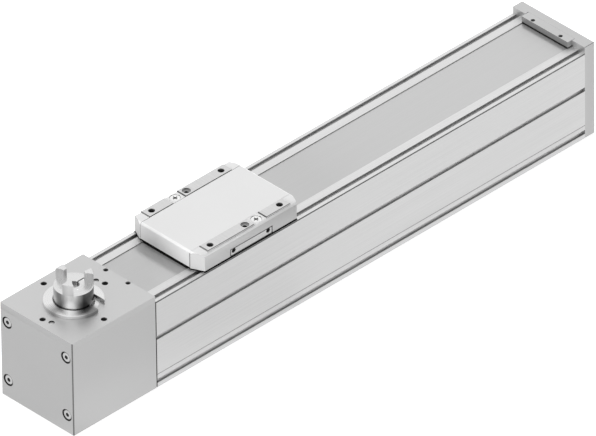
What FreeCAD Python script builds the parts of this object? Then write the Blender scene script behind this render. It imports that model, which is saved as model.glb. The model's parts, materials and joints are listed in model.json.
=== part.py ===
import FreeCAD, Part
import math
import os

# Belt driven linear axis with a cover strip, an inner rail guide and a vertical drive shaft.
# Millimetres. X runs along the axis from the drive block to the end cap, Z is up,
# and the origin is at the middle of the bottom of the whole axis.

# Main sizes
axis_width = 80.0
profile_height = 81.0
profile_length = 468.5
block_length = 89.0
gasket_thickness = 1.0
cap_length = 10.5
plate_thickness = 6.0
edge_chamfer = 0.4
block_height = profile_height + plate_thickness
gasket_inset = 0.4

# Section of the profile
side_wall = 12.0
floor_thickness = 12.0
roof_thickness = 13.0
opening_half = 21.0
strip_recess_depth = 1.1
strip_width = 50.0
strip_thickness = 0.3
strip_side_gap = 0.2
slot_mouth = 3.8
slot_lip = 1.7
slot_inner_width = 7.0
slot_inner_depth = 3.2
side_slot_height = 47.0
low_slot_height = 6.1
top_slot_from_edge = 5.5
bottom_slot_from_middle = 20.0
edge_line = 0.9
edge_line_depth = 0.5
mark_line_height = 12.3
mark_line_width = 0.8
magnet_width = 2.4
magnet_depth = 1.6
magnet_from_opening = 0.8
slot_corner_depth = 1.2
slot_corner_across = 1.6

# Screws that hold the drive block and the end cap on the profile
corner_screw_from_side = 7.4
corner_screw_from_ends = 16.2
corner_screw_radius = 2.5
corner_head_radius = 4.25
corner_head_height = 5.0
corner_bore_radius = 5.2
corner_head_depth = 5.6
corner_thread_depth = 14.0
corner_bore_past_screw = 4.0
cap_head_depth = 5.4
thread_clearance = 0.05
hole_clearance = 0.25
thread_bottom_gap = 1.0
socket_ratio = 0.55

# Drive shaft, pulley and bearings in the drive block
drive_from_end = 40.5
shaft_radius = 6.0
shaft_nose_radius = 4.5
shaft_nose_top_gap = 3.5
shaft_nose_chamfer = 0.5
shaft_step_gap = 0.2
shaft_bottom_gap = 3.0
running_clearance = 0.05
pulley_teeth = 18
belt_pitch = 5.0
pitch_line_depth = 0.5
tooth_depth = 1.25
tooth_gap_root = 1.8
tooth_gap_tip = 3.1
tooth_gap_past_rim = 1.0
belt_thickness = 1.8
belt_seat_gap = 0.3
pulley_side_play = 1.0
flange_thickness = 1.0
flange_rim = 1.2
pocket_gap = 2.5
bearing_shoulder = 2.2
bearing_ring_share = 0.26
bearing_groove = 0.4
bearing_outer_radius = 14.0
bearing_width = 10.0

# Coupling hub and centring ring on top of the drive block
hub_radius = 15.7
hub_base_gap = 1.2
hub_face_height = 16.5
hub_edge_chamfer = 0.5
claw_height = 9.5
claw_inner_radius = 9.1
claw_rim_width = 9.0
claw_inner_width = 3.4
claw_foot = 0.5
claw_edge_chamfer = 0.6
claw_count = 3
claw_first_angle = -30.0
hub_slit = 1.0
clamp_screw_offset = 9.3
clamp_screw_height = 4.5
clamp_screw_radius = 1.5
clamp_head_radius = 2.75
clamp_head_height = 3.0
clamp_head_inset = 5.0
clamp_head_gap = 0.3
clamp_thread_end = 9.4
ring_radius = 24.0
ring_height = 3.0
ring_gap = 0.7
ring_spigot_radius = 20.0
ring_floor = 3.0
ring_notch_start = 3.4
ring_notch_width = 11.7
seal_radius = 9.0
seal_gap = 0.3
seal_lip = 1.5
seal_slope = 1.0

# Mounting holes in the top of the drive block
motor_hole_circle = 33.4
motor_hole_radius = 2.5
motor_hole_below_plate = 6.0
dowel_hole_circle = 32.2
dowel_hole_radius = 2.4
dowel_hole_depth = 3.0
dowel_hole_angle = 14.0
grub_from_edge = 2.3
grub_spacing = 24.6
grub_radius = 2.0
grub_depth_left = 1.0
grub_socket_depth = 2.0

# Strip clamps at both ends
drive_clamp_length = 9.0
drive_clamp_thickness = 0.75
drive_clamp_play = 1.0
end_clamp_reach = 4.5
end_clamp_seat = 3.0
end_clamp_width = 51.0
end_clamp_screw_spacing = 30.6
end_clamp_screw_radius = 1.7
end_clamp_screw_sunk = 1.2
end_clamp_socket_depth = 1.5
end_clamp_gap = 0.1

# Carriage
carriage_from_profile_start = 103.3
carriage_length = 109.8
carriage_side_inset = 1.0
carriage_gap = 0.4
carriage_height = 16.3
pad_rise = 0.5
web_thickness = 6.0
web_half = 26.0
slide_plate_length = 89.2
bar_step = 0.1
pad_width = 9.8
pad_from_side = 1.6
pad_long_start = -5.6
pad_short_end = -18.8
cover_wall = 1.7
cover_seam = 0.15
cover_corner_x = 5.2
cover_corner_start = 0.6
cover_bevel = 2.0
cover_round = 6.0
skirt_thickness = 0.7
mount_hole_from_side = 6.6
mount_hole_x = 37.6
mount_hole_radius = 2.75
mount_hole_depth = 12.0
centring_hole_radius = 3.5
centring_hole_depth = 2.1
centring_core_radius = 2.0
centring_core_depth = 4.0
cover_screw_x = 12.2
cover_screw_sunk = 1.0
cover_screw_head_radius = 4.2
cover_screw_head_height = 0.6
cover_screw_radius = 1.5
cover_screw_length = 8.0
cover_screw_bottom_gap = 0.5
cover_screw_chamfer = 0.3
cross_half_width = 0.5
cross_depth = 0.6
lug_half_length = 22.5
lug_height = 7.2
lug_from_side = 0.5
lug_gap = 0.35
lug_hole_x = 18.6
lug_shift = 0.5
lug_hole_height = 4.6
lug_hole_radius = 2.1
lug_hole_depth = 6.0

# Inner carriage, guide and belt clamp
neck_half_length = 22.0
neck_half_width = 11.0
foot_thickness = 6.0
foot_half_length = 48.0
foot_half_width = 22.0
rail_width = 15.0
rail_height = 14.0
rail_waist = 2.0
rail_head_rise = 1.0
rail_end_gap = 4.0
rail_screw_pitch = 60.0
rail_screw_end = 12.0
rail_thread_depth = 7.0
rail_screw_radius = 2.0
rail_head_radius = 3.5
rail_head_height = 4.0
rail_head_sunk = 0.5
guide_block_length = 38.0
guide_block_width = 40.0
guide_block_height = 18.0
guide_block_lift = 3.0
guide_shoulder = 3.0
guide_shoulder_depth = 5.0
guide_shoulder_slope = 1.5
guide_clearance = 0.1
guide_screw_x = 12.0
guide_screw_y = 16.0
guide_screw_radius = 2.0
guide_head_radius = 3.5
guide_head_height = 4.0
guide_thread_depth = 6.0
clamp_plate_thickness = 4.0
clamp_plate_length = 36.0
clamp_plate_margin = 5.0
belt_screw_radius = 1.25
belt_screw_head = 2.3
belt_screw_head_height = 2.0
belt_screw_x = 13.0
belt_screw_grip = 6.0
belt_screw_bottom_gap = 0.5
belt_groove_gap = 0.1
web_screw_radius = 2.0
web_head_radius = 3.5
web_head_height = 4.0
web_screw_x = 16.0
web_screw_y = 6.5
web_screw_depth = 10.0
strip_lift_gap = 0.4
strip_ramp_length = 20.0
ramp_shoe_length = 14.0
ramp_shoe_gap = 0.3
ramp_shoe_lift = 0.2
ramp_shoe_toe = 1.0

# Idler, belt tensioner and stop buffers
idler_from_profile_end = 24.0
axle_radius = 4.0
idler_bearing_width = 5.0
idler_bearing_radius = 8.0
idler_core_gap = 1.5
press_gap = 0.01
yoke_plate = 2.8
yoke_wall = 5.0
yoke_side_gap = 0.3
yoke_foot_gap = 3.4
yoke_roof_gap = 0.4
yoke_front = 9.0
yoke_back_gap = 0.5
tension_screw_y = 18.0
tension_screw_radius = 2.5
tension_head_radius = 4.25
tension_head_height = 5.0
tension_head_gap = 0.6
buffer_radius = 5.0
buffer_y = 16.0
buffer_gap = 0.5
carriage_end_clearance = 5.0

# Places worked out from the sizes
overall_length = block_length + gasket_thickness + profile_length + cap_length
half_width = axis_width / 2
block_start = -overall_length / 2
block_end = block_start + block_length
profile_start = block_end + gasket_thickness
profile_end = profile_start + profile_length
cap_end = profile_end + cap_length
cavity_half = half_width - side_wall
cavity_top = profile_height - roof_thickness
strip_seat = profile_height - strip_recess_depth
recess_half = strip_width / 2 + strip_side_gap
slot_y = half_width - top_slot_from_edge
screw_y = half_width - corner_screw_from_side
screw_levels = (corner_screw_from_ends, block_height - corner_screw_from_ends)
drive_x = block_start + drive_from_end
pitch_radius = pulley_teeth * belt_pitch / (2 * math.pi)
pulley_radius = pitch_radius - pitch_line_depth
belt_inner = pulley_radius + belt_seat_gap
belt_outer = belt_inner + belt_thickness
pulley_rim = belt_outer + flange_rim
idler_x = profile_end - idler_from_profile_end
rail_top = floor_thickness + rail_height
foot_bottom = floor_thickness + guide_block_lift + guide_block_height
foot_top = foot_bottom + foot_thickness
yoke_low = foot_top + yoke_foot_gap
yoke_high = cavity_top - yoke_roof_gap
pulley_low = yoke_low + yoke_plate + yoke_side_gap
pulley_high = yoke_high - yoke_plate - yoke_side_gap
belt_height = (pulley_low + pulley_high) / 2
belt_width = pulley_high - pulley_low - 2 * (flange_thickness + pulley_side_play)
pocket_radius = pulley_rim + pocket_gap
pocket_low = pulley_low - pocket_gap
pocket_high = pulley_high + pocket_gap
hub_bottom = block_height + hub_base_gap
hub_face = block_height + hub_face_height
shaft_top = hub_face - shaft_nose_top_gap
shaft_bottom = pocket_low - bearing_width
carriage_x = profile_start + carriage_from_profile_start
carriage_bottom = profile_height + carriage_gap
carriage_top = carriage_bottom + carriage_height
pad_top = carriage_top + pad_rise
carriage_half = carriage_length / 2
plate_half = slide_plate_length / 2
side_half = half_width - carriage_side_inset
pad_outer = side_half - pad_from_side
pad_inner = pad_outer - pad_width
bar_inner = pad_inner + bar_step
mount_hole_y = side_half - mount_hole_from_side
web_top = carriage_bottom + web_thickness
bar_top = carriage_top - cover_wall
cover_screw_seat = carriage_top - cover_screw_sunk
strip_high = web_top + strip_lift_gap
yoke_back = idler_x + pulley_rim + yoke_back_gap
travel_back = carriage_from_profile_start - carriage_half - carriage_end_clearance
travel_ahead = profile_end - end_clamp_reach - carriage_end_clearance - carriage_half - carriage_x


def box(x0, x1, y0, y1, z0, z1):
    return Part.makeBox(x1 - x0, y1 - y0, z1 - z0, FreeCAD.Vector(x0, y0, z0))


def upright(x, y, z0, z1, radius):
    return Part.makeCylinder(radius, z1 - z0, FreeCAD.Vector(x, y, z0), FreeCAD.Vector(0, 0, 1))


def along_x(x0, x1, y, z, radius):
    return Part.makeCylinder(radius, x1 - x0, FreeCAD.Vector(x0, y, z), FreeCAD.Vector(1, 0, 0))


def along_y(x, y0, y1, z, radius):
    return Part.makeCylinder(radius, y1 - y0, FreeCAD.Vector(x, y0, z), FreeCAD.Vector(0, 1, 0))


def polygon_face(points):
    return Part.Face(Part.makePolygon(points + [points[0]]))


def section_along_x(points, x0, x1):
    corners = [FreeCAD.Vector(x0, y, z) for y, z in points]
    return polygon_face(corners).extrude(FreeCAD.Vector(x1 - x0, 0, 0))


def plan_up_z(points, z0, z1):
    corners = [FreeCAD.Vector(x, y, z0) for x, y in points]
    return polygon_face(corners).extrude(FreeCAD.Vector(0, 0, z1 - z0))


def turned_about_z(points, x, y):
    corners = [FreeCAD.Vector(x + r, y, z) for r, z in points]
    return polygon_face(corners).revolve(FreeCAD.Vector(x, y, 0), FreeCAD.Vector(0, 0, 1), 360)


def hex_points(x, y, radius):
    angles = [math.radians(60 * k) for k in range(6)]
    return [(x + radius * math.cos(a), y + radius * math.sin(a)) for a in angles]


def socket_screw(head_radius, head_height, shank_radius, length):
    # head top at the origin, shank pointing along -Z
    head = upright(0, 0, -head_height, 0, head_radius)
    head = head.makeChamfer(edge_chamfer, [head.Edges[0]])
    shank = upright(0, 0, -head_height - length, -head_height, shank_radius)
    socket = plan_up_z(hex_points(0, 0, head_radius * socket_ratio), -head_height * socket_ratio, 0)
    return head.fuse(shank).removeSplitter().cut(socket)


def aimed(shape, direction, place):
    turned = shape.copy()
    turned.Placement = FreeCAD.Placement(
        FreeCAD.Vector(*place), FreeCAD.Rotation(FreeCAD.Vector(0, 0, 1), FreeCAD.Vector(*direction)))
    return turned


def both_sides(shape):
    return [shape, shape.mirror(FreeCAD.Vector(0, 0, 0), FreeCAD.Vector(0, 1, 0))]


def turned_half(shape):
    other = shape.copy()
    other.rotate(FreeCAD.Vector(carriage_x, 0, 0), FreeCAD.Vector(0, 0, 1), 180)
    return other


def corner_places():
    return [(side * screw_y, level) for side in (-1, 1) for level in screw_levels]


def save(name, shapes):
    solids = []
    for shape in shapes:
        solids += shape.Solids
    whole = solids[0] if len(solids) == 1 else Part.makeCompound(solids)
    whole.exportStep("parts/" + name + ".step")
    print(name, len(solids), round(sum(solid.Volume for solid in solids), 1), whole.isValid())


def slot_points(depth_direction, mouth_at, middle):
    # T-slot outline as (depth, across) pairs from the outer face inwards
    half_mouth = slot_mouth / 2
    half_inner = slot_inner_width / 2
    bottom = slot_lip + slot_inner_depth
    corner = bottom - slot_corner_depth
    floor_half = half_inner - slot_corner_across
    across = [(0, -half_mouth), (slot_lip, -half_mouth), (slot_lip, -half_inner), (corner, -half_inner),
              (bottom, -floor_half), (bottom, floor_half), (corner, half_inner),
              (slot_lip, half_inner), (slot_lip, half_mouth), (0, half_mouth)]
    if depth_direction == "side":
        return [(mouth_at - depth, middle + cross) for depth, cross in across]
    if depth_direction == "top":
        return [(middle + cross, mouth_at - depth) for depth, cross in across]
    return [(middle + cross, mouth_at + depth) for depth, cross in across]


def make_profile():
    body = box(profile_start, profile_end, -half_width, half_width, 0, profile_height)
    cuts = [box(profile_start, profile_end, -cavity_half, cavity_half, floor_thickness, cavity_top),
            box(profile_start, profile_end, -opening_half, opening_half, cavity_top, strip_seat),
            box(profile_start, profile_end, -recess_half, recess_half, strip_seat, profile_height)]
    magnet_y = opening_half + magnet_from_opening
    slots = [slot_points("side", half_width, side_slot_height),
             slot_points("side", half_width, low_slot_height),
             slot_points("top", profile_height, slot_y),
             slot_points("bottom", 0, bottom_slot_from_middle)]
    side_cuts = [section_along_x(points, profile_start, profile_end) for points in slots]
    side_cuts += [box(profile_start, profile_end, magnet_y, magnet_y + magnet_width,
                      strip_seat - magnet_depth, strip_seat),
                  box(profile_start, profile_end, half_width - edge_line_depth, half_width,
                      profile_height - edge_line, profile_height),
                  section_along_x([(half_width, mark_line_height - mark_line_width / 2),
                                   (half_width - mark_line_width / 2, mark_line_height),
                                   (half_width, mark_line_height + mark_line_width / 2)],
                                  profile_start, profile_end)]
    for cut in side_cuts:
        cuts += both_sides(cut)
    for y, z in corner_places():
        bore_depth = corner_thread_depth + corner_bore_past_screw
        bore_radius = corner_screw_radius + thread_clearance
        cuts.append(along_x(profile_start, profile_start + bore_depth, y, z, bore_radius))
        cuts.append(along_x(profile_end - bore_depth, profile_end, y, z, bore_radius))
    for x in rail_screw_places():
        cuts.append(upright(x, 0, floor_thickness - rail_thread_depth, floor_thickness,
                            rail_screw_radius + thread_clearance))
    return body.cut(Part.makeCompound(cuts))


def make_magnets():
    magnet_y = opening_half + magnet_from_opening
    strip = box(profile_start, profile_end, magnet_y, magnet_y + magnet_width,
                strip_seat - magnet_depth, strip_seat)
    return both_sides(strip)


def make_gasket():
    half = half_width - gasket_inset
    plate = box(block_end, profile_start, -half, half, gasket_inset, profile_height - gasket_inset)
    cuts = [box(block_end, profile_start, -cavity_half, cavity_half, floor_thickness, cavity_top),
            box(block_end, profile_start, -recess_half, recess_half, cavity_top, profile_height)]
    for y, z in corner_places():
        cuts.append(along_x(block_end, profile_start, y, z, corner_screw_radius + hole_clearance))
    return [plate.cut(Part.makeCompound(cuts))]


def make_housing():
    body = box(block_start, block_end, -half_width, half_width, 0, profile_height)
    body = body.makeChamfer(edge_chamfer, [edge for edge in body.Edges if is_upright_end(edge)])
    passage = box(drive_x, block_end, -pocket_radius, pocket_radius, pocket_low, pocket_high)
    cuts = [upright(drive_x, 0, pocket_low, pocket_high, pocket_radius), passage,
            upright(drive_x, 0, pocket_high, profile_height, bearing_outer_radius),
            upright(drive_x, 0, pocket_low - bearing_width, pocket_low, bearing_outer_radius),
            upright(drive_x, 0, shaft_bottom - shaft_bottom_gap, shaft_bottom,
                    bearing_outer_radius - bearing_shoulder),
            box(block_end - drive_clamp_length - drive_clamp_play, block_end, -recess_half, recess_half,
                strip_seat, profile_height)]
    for y, z in corner_places():
        cuts.append(along_x(block_start, block_end, y, z, corner_screw_radius + hole_clearance))
        cuts.append(along_x(block_start, block_start + corner_head_depth, y, z, corner_bore_radius))
    for x, y in motor_hole_places():
        cuts.append(upright(x, y, profile_height - motor_hole_below_plate, profile_height,
                            motor_hole_radius))
    return [body.cut(Part.makeCompound(cuts))]


def is_upright_end(edge):
    first = edge.Vertexes[0].Point
    last = edge.Vertexes[-1].Point
    return abs(first.x - last.x) < 0.01 and abs(first.y - last.y) < 0.01 and first.x < block_start + 1


def motor_hole_places():
    angles = [math.radians(90 * k) for k in range(4)]
    return [(drive_x + motor_hole_circle * math.cos(a), motor_hole_circle * math.sin(a)) for a in angles]


def dowel_hole_places():
    angles = [math.radians(dowel_hole_angle + 180 * k) for k in range(2)]
    return [(drive_x + dowel_hole_circle * math.cos(a), dowel_hole_circle * math.sin(a)) for a in angles]


def grub_places():
    return [(block_end - grub_from_edge, side * grub_spacing / 2) for side in (-1, 1)]


def make_top_plate():
    plate = box(block_start, block_end, -half_width, half_width, profile_height, block_height)
    plate = plate.makeChamfer(edge_chamfer, [edge for edge in plate.Edges if is_upright_end(edge)])
    cuts = [upright(drive_x, 0, profile_height, block_height, ring_spigot_radius)]
    for x, y in motor_hole_places():
        cuts.append(upright(x, y, profile_height, block_height, motor_hole_radius))
    for x, y in dowel_hole_places():
        cuts.append(upright(x, y, block_height - dowel_hole_depth, block_height, dowel_hole_radius))
    for x, y in grub_places():
        cuts.append(upright(x, y, profile_height, block_height, grub_radius + thread_clearance))
    return [plate.cut(Part.makeCompound(cuts))]


def make_ring():
    inner = hub_radius + ring_gap
    points = [(seal_radius, profile_height), (ring_spigot_radius - thread_clearance, profile_height),
              (ring_spigot_radius - thread_clearance, block_height), (ring_radius, block_height),
              (ring_radius, block_height + ring_height - edge_chamfer),
              (ring_radius - edge_chamfer, block_height + ring_height),
              (inner, block_height + ring_height), (inner, profile_height + ring_floor),
              (seal_radius, profile_height + ring_floor)]
    ring = turned_about_z(points, drive_x, 0)
    notch_start = drive_x + ring_notch_start
    notch = box(notch_start, notch_start + ring_notch_width, -ring_radius, 0,
                block_height, block_height + ring_height)
    return [ring.cut(notch)]


def make_seal():
    inner = shaft_radius + running_clearance
    low = profile_height + seal_gap
    high = profile_height + ring_floor
    points = [(inner, low), (seal_radius, low), (seal_radius, high), (inner + seal_lip, high),
              (inner, high - seal_slope)]
    return [turned_about_z(points, drive_x, 0)]


def bearing(x, bore, outer, z0, z1):
    low = z0 + bearing_groove
    high = z1 - bearing_groove
    ring = (outer - bore) * bearing_ring_share
    inner_ring = bore + ring
    outer_ring = outer - ring
    points = [(bore, z0), (inner_ring, z0), (inner_ring, low), (outer_ring, low),
              (outer_ring, z0), (outer, z0), (outer, z1), (outer_ring, z1), (outer_ring, high),
              (inner_ring, high), (inner_ring, z1), (bore, z1)]
    return turned_about_z(points, x, 0)


def make_drive_bearings():
    bore = shaft_radius + running_clearance
    outer = bearing_outer_radius - thread_clearance
    return [bearing(drive_x, bore, outer, profile_height - bearing_width, profile_height),
            bearing(drive_x, bore, outer, pocket_low - bearing_width, pocket_low)]


def make_shaft():
    step = hub_bottom - shaft_step_gap
    points = [(0, shaft_bottom), (shaft_radius, shaft_bottom), (shaft_radius, step),
              (shaft_nose_radius, step), (shaft_nose_radius, shaft_top - shaft_nose_chamfer),
              (shaft_nose_radius - shaft_nose_chamfer, shaft_top), (0, shaft_top)]
    return [turned_about_z(points, drive_x, 0)]


def toothed_pulley(x, bore):
    outer = pulley_radius
    body = upright(x, 0, pulley_low, pulley_high, outer)
    root = x + outer - tooth_depth
    past = x + outer + tooth_gap_past_rim
    gaps = []
    for k in range(pulley_teeth):
        gap = plan_up_z([(root, -tooth_gap_root / 2), (past, -tooth_gap_tip / 2),
                         (past, tooth_gap_tip / 2), (root, tooth_gap_root / 2)], pulley_low, pulley_high)
        gap.rotate(FreeCAD.Vector(x, 0, 0), FreeCAD.Vector(0, 0, 1), 360 * k / pulley_teeth)
        gaps.append(gap)
    body = body.cut(Part.makeCompound(gaps))
    lower = upright(x, 0, pulley_low, pulley_low + flange_thickness, pulley_rim)
    upper = upright(x, 0, pulley_high - flange_thickness, pulley_high, pulley_rim)
    return body.fuse([lower, upper]).cut(upright(x, 0, pulley_low, pulley_high, bore))


def make_drive_pulley():
    return [toothed_pulley(drive_x, shaft_radius + press_gap)]


def claw_ring():
    # the ring that the claws are cut from, with its outer and inner edges broken
    low = hub_face - claw_foot
    top = hub_face + claw_height
    points = [(claw_inner_radius, low), (hub_radius, low), (hub_radius, top - claw_edge_chamfer),
              (hub_radius - claw_edge_chamfer, top), (claw_inner_radius + hub_edge_chamfer, top),
              (claw_inner_radius, top - hub_edge_chamfer)]
    return turned_about_z(points, drive_x, 0)


def claw_gap(angle):
    # the round pocket between two claws, through the corners that leave the claws their widths
    half_pitch = math.pi / claw_count
    inner_turn = half_pitch - math.asin(claw_inner_width / 2 / claw_inner_radius)
    outer_turn = half_pitch - math.asin(claw_rim_width / 2 / hub_radius)
    inner_u = claw_inner_radius * math.cos(inner_turn)
    outer_u = hub_radius * math.cos(outer_turn)
    centre = (hub_radius ** 2 - claw_inner_radius ** 2) / (2 * (outer_u - inner_u))
    radius = math.hypot(inner_u - centre, claw_inner_radius * math.sin(inner_turn))
    turn = math.radians(angle)
    return upright(drive_x + centre * math.cos(turn), centre * math.sin(turn),
                   hub_face - claw_foot, hub_face + claw_height, radius)


def make_hub():
    bevel = hub_edge_chamfer
    bore = shaft_nose_radius + press_gap
    body = turned_about_z([(bore, hub_bottom), (hub_radius - bevel, hub_bottom),
                           (hub_radius, hub_bottom + bevel), (hub_radius, hub_face - bevel),
                           (hub_radius - bevel, hub_face), (bore + bevel, hub_face),
                           (bore, hub_face - bevel)], drive_x, 0)
    gaps = [claw_gap(claw_first_angle + 360 * (k + 0.5) / claw_count) for k in range(claw_count)]
    body = body.fuse(claw_ring().cut(gaps).Solids)
    screw_x = drive_x + clamp_screw_offset
    screw_z = hub_bottom + clamp_screw_height
    head_face = -hub_radius + clamp_head_inset
    cuts = [box(drive_x, drive_x + hub_radius, -hub_slit / 2, hub_slit / 2, hub_bottom, hub_face),
            along_y(screw_x, -hub_radius, head_face + clamp_head_height, screw_z,
                    clamp_head_radius + clamp_head_gap),
            along_y(screw_x, head_face, clamp_thread_end, screw_z, clamp_screw_radius + thread_clearance)]
    return [body.cut(Part.makeCompound(cuts))]


def make_clamp_screw():
    head_face = -hub_radius + clamp_head_inset
    length = clamp_thread_end - head_face - clamp_head_height - thread_bottom_gap
    screw = socket_screw(clamp_head_radius, clamp_head_height, clamp_screw_radius, length)
    place = (drive_x + clamp_screw_offset, head_face, hub_bottom + clamp_screw_height)
    return [aimed(screw, (0, -1, 0), place)]


def make_corner_screws(head_x, direction, clamp_length):
    length = clamp_length - corner_head_height + corner_thread_depth
    screw = socket_screw(corner_head_radius, corner_head_height, corner_screw_radius, length)
    return [aimed(screw, (direction, 0, 0), (head_x, y, z)) for y, z in corner_places()]


def make_end_cap():
    body = box(profile_end, cap_end, -half_width, half_width, 0, block_height)
    seat_half = end_clamp_width / 2 + cover_seam
    cuts = [box(profile_end, profile_end + end_clamp_seat + cover_seam, -seat_half, seat_half,
                strip_seat, block_height)]
    for y, z in corner_places():
        cuts.append(along_x(profile_end, cap_end, y, z, corner_screw_radius + hole_clearance))
        cuts.append(along_x(cap_end - cap_head_depth, cap_end, y, z, corner_bore_radius))
    for side in (-1, 1):
        cuts.append(along_x(profile_end, cap_end, side * tension_screw_y, belt_height,
                            tension_screw_radius + hole_clearance))
        cuts.append(along_x(cap_end - cap_head_depth, cap_end, side * tension_screw_y, belt_height,
                            tension_head_radius + tension_head_gap))
    return [body.cut(Part.makeCompound(cuts))]


def make_end_clamp():
    half = end_clamp_width / 2
    body = box(profile_end - end_clamp_reach, profile_end + end_clamp_seat, -half, half,
               strip_seat + strip_thickness, block_height)
    recess_edge = box(profile_end - end_clamp_reach, profile_end, recess_half - end_clamp_gap, half,
                      strip_seat, profile_height + end_clamp_gap)
    cuts = both_sides(recess_edge)
    for x, y in end_clamp_screw_places():
        cuts.append(upright(x, y, strip_seat, block_height, end_clamp_screw_radius + thread_clearance))
    return [body.cut(Part.makeCompound(cuts))]


def end_clamp_screw_places():
    x = profile_end - end_clamp_reach / 2
    return [(x, side * end_clamp_screw_spacing / 2) for side in (-1, 1)]


def make_end_clamp_screws():
    low = strip_seat + strip_thickness
    high = block_height - end_clamp_screw_sunk
    screws = []
    for x, y in end_clamp_screw_places():
        socket = plan_up_z(hex_points(x, y, end_clamp_screw_radius * socket_ratio),
                           high - end_clamp_socket_depth, high)
        screws.append(upright(x, y, low, high, end_clamp_screw_radius).cut(socket))
    return screws


def make_drive_clamp():
    low = strip_seat + strip_thickness
    half = recess_half - strip_side_gap
    return [box(block_end - drive_clamp_length, block_end, -half, half, low, low + drive_clamp_thickness)]


def make_grub_screws():
    low = strip_seat + strip_thickness + drive_clamp_thickness
    high = block_height - grub_depth_left
    screws = []
    for x, y in grub_places():
        socket = plan_up_z(hex_points(x, y, grub_radius * socket_ratio), high - grub_socket_depth, high)
        screws.append(upright(x, y, low, high, grub_radius).cut(socket))
    return screws


def ramp_arcs(x0, z0, x1, z1, extra):
    # two equal arcs that lift the strip from z0 to z1, extra moves to the strip's upper face
    run = x1 - x0
    rise = z1 - z0
    radius = (run * run + rise * rise) / (4 * abs(rise))
    sign = 1 if rise > 0 else -1
    bend = 2 * math.atan2(abs(rise), abs(run))
    first_centre = (x0, z0 + sign * radius)
    last_centre = (x1, z1 - sign * radius)
    first_radius = radius - sign * extra
    last_radius = radius + sign * extra

    def on_arc(centre, arc_radius, angle, below):
        direction = -1 if below else 1
        return FreeCAD.Vector(centre[0] + arc_radius * math.sin(angle), 0,
                              centre[1] + direction * arc_radius * math.cos(angle))

    below = sign > 0
    start = on_arc(first_centre, first_radius, 0, below)
    first_mid = on_arc(first_centre, first_radius, bend / 2, below)
    middle = on_arc(first_centre, first_radius, bend, below)
    last_mid = on_arc(last_centre, last_radius, -bend / 2, not below)
    end = on_arc(last_centre, last_radius, 0, not below)
    arcs = [Part.Arc(start, first_mid, middle).toShape(), Part.Arc(middle, last_mid, end).toShape()]
    return arcs, start, end


def strip_line(extra):
    low = strip_seat + extra
    high = strip_high + extra
    up_end = carriage_x - web_half
    down_start = carriage_x + web_half
    begin = block_end - drive_clamp_length
    finish = profile_end + end_clamp_seat
    up, up_first, up_last = ramp_arcs(up_end - strip_ramp_length, strip_seat, up_end, strip_high, extra)
    down_end = down_start + strip_ramp_length
    down, down_first, down_last = ramp_arcs(down_start, strip_high, down_end, strip_seat, extra)
    first = FreeCAD.Vector(begin, 0, low)
    last = FreeCAD.Vector(finish, 0, low)
    edges = [Part.makeLine(first, up_first)] + up + [Part.makeLine(up_last, down_first)] + down
    edges.append(Part.makeLine(down_last, last))
    return edges, first, last


def make_cover_strip():
    lower, lower_first, lower_last = strip_line(0)
    upper, upper_first, upper_last = strip_line(strip_thickness)
    ends = [Part.makeLine(lower_first, upper_first), Part.makeLine(lower_last, upper_last)]
    outline = Part.Wire(Part.__sortEdges__(lower + upper + ends))
    strip = Part.Face(outline).extrude(FreeCAD.Vector(0, strip_width, 0))
    strip.translate(FreeCAD.Vector(0, -strip_width / 2, 0))
    return [strip]


def rail_section(extra):
    half = rail_width / 2
    waist = half - rail_waist
    third = rail_height / 3
    points = [(half + extra, floor_thickness), (half + extra, floor_thickness + third),
              (waist + extra, floor_thickness + third + rail_waist),
              (waist + extra, rail_top - third - rail_waist + rail_head_rise),
              (half + extra, rail_top - third + rail_head_rise),
              (half + extra, rail_top + extra)]
    return points + [(-y, z) for y, z in reversed(points)]


def rail_screw_places():
    span = profile_length - 2 * rail_end_gap
    count = int(span // rail_screw_pitch) + 1
    first = (profile_start + profile_end) / 2 - (count - 1) * rail_screw_pitch / 2
    places = [first + k * rail_screw_pitch for k in range(count)]
    return [x for x in places if x < profile_end - rail_screw_end]


def make_rail():
    rail = section_along_x(rail_section(0), profile_start + rail_end_gap, profile_end - rail_end_gap)
    head_low = rail_top - rail_head_height - rail_head_sunk
    cuts = []
    for x in rail_screw_places():
        cuts.append(upright(x, 0, floor_thickness, rail_top, rail_screw_radius + hole_clearance))
        cuts.append(upright(x, 0, head_low, rail_top, rail_head_radius + hole_clearance))
    return [rail.cut(Part.makeCompound(cuts))]


def make_rail_screws():
    top = rail_top - rail_head_sunk
    length = top - rail_head_height - floor_thickness + rail_thread_depth - thread_bottom_gap
    screw = socket_screw(rail_head_radius, rail_head_height, rail_screw_radius, length)
    return [aimed(screw, (0, 0, 1), (x, 0, top)) for x in rail_screw_places()]


def guide_places():
    offset = foot_half_length - guide_block_length / 2
    return [carriage_x - offset, carriage_x + offset]


def make_guide_blocks():
    blocks = []
    half = guide_block_width / 2
    low = floor_thickness + guide_block_lift
    for x in guide_places():
        x0 = x - guide_block_length / 2
        x1 = x + guide_block_length / 2
        shoulder_low = foot_bottom - guide_shoulder_depth
        shoulder_high = shoulder_low + guide_shoulder_slope
        top_half = half - guide_shoulder
        points = [(-half, low), (half, low), (half, shoulder_low), (top_half, shoulder_high),
                  (top_half, foot_bottom), (-top_half, foot_bottom), (-top_half, shoulder_high),
                  (-half, shoulder_low)]
        body = section_along_x(points, x0, x1).cut(section_along_x(rail_section(guide_clearance), x0, x1))
        hole_low = foot_bottom - guide_thread_depth - thread_bottom_gap
        holes = [upright(x + a * guide_screw_x, b * guide_screw_y, hole_low, foot_bottom,
                         guide_screw_radius + thread_clearance) for a in (-1, 1) for b in (-1, 1)]
        blocks.append(body.cut(Part.makeCompound(holes)))
    return blocks


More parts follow.
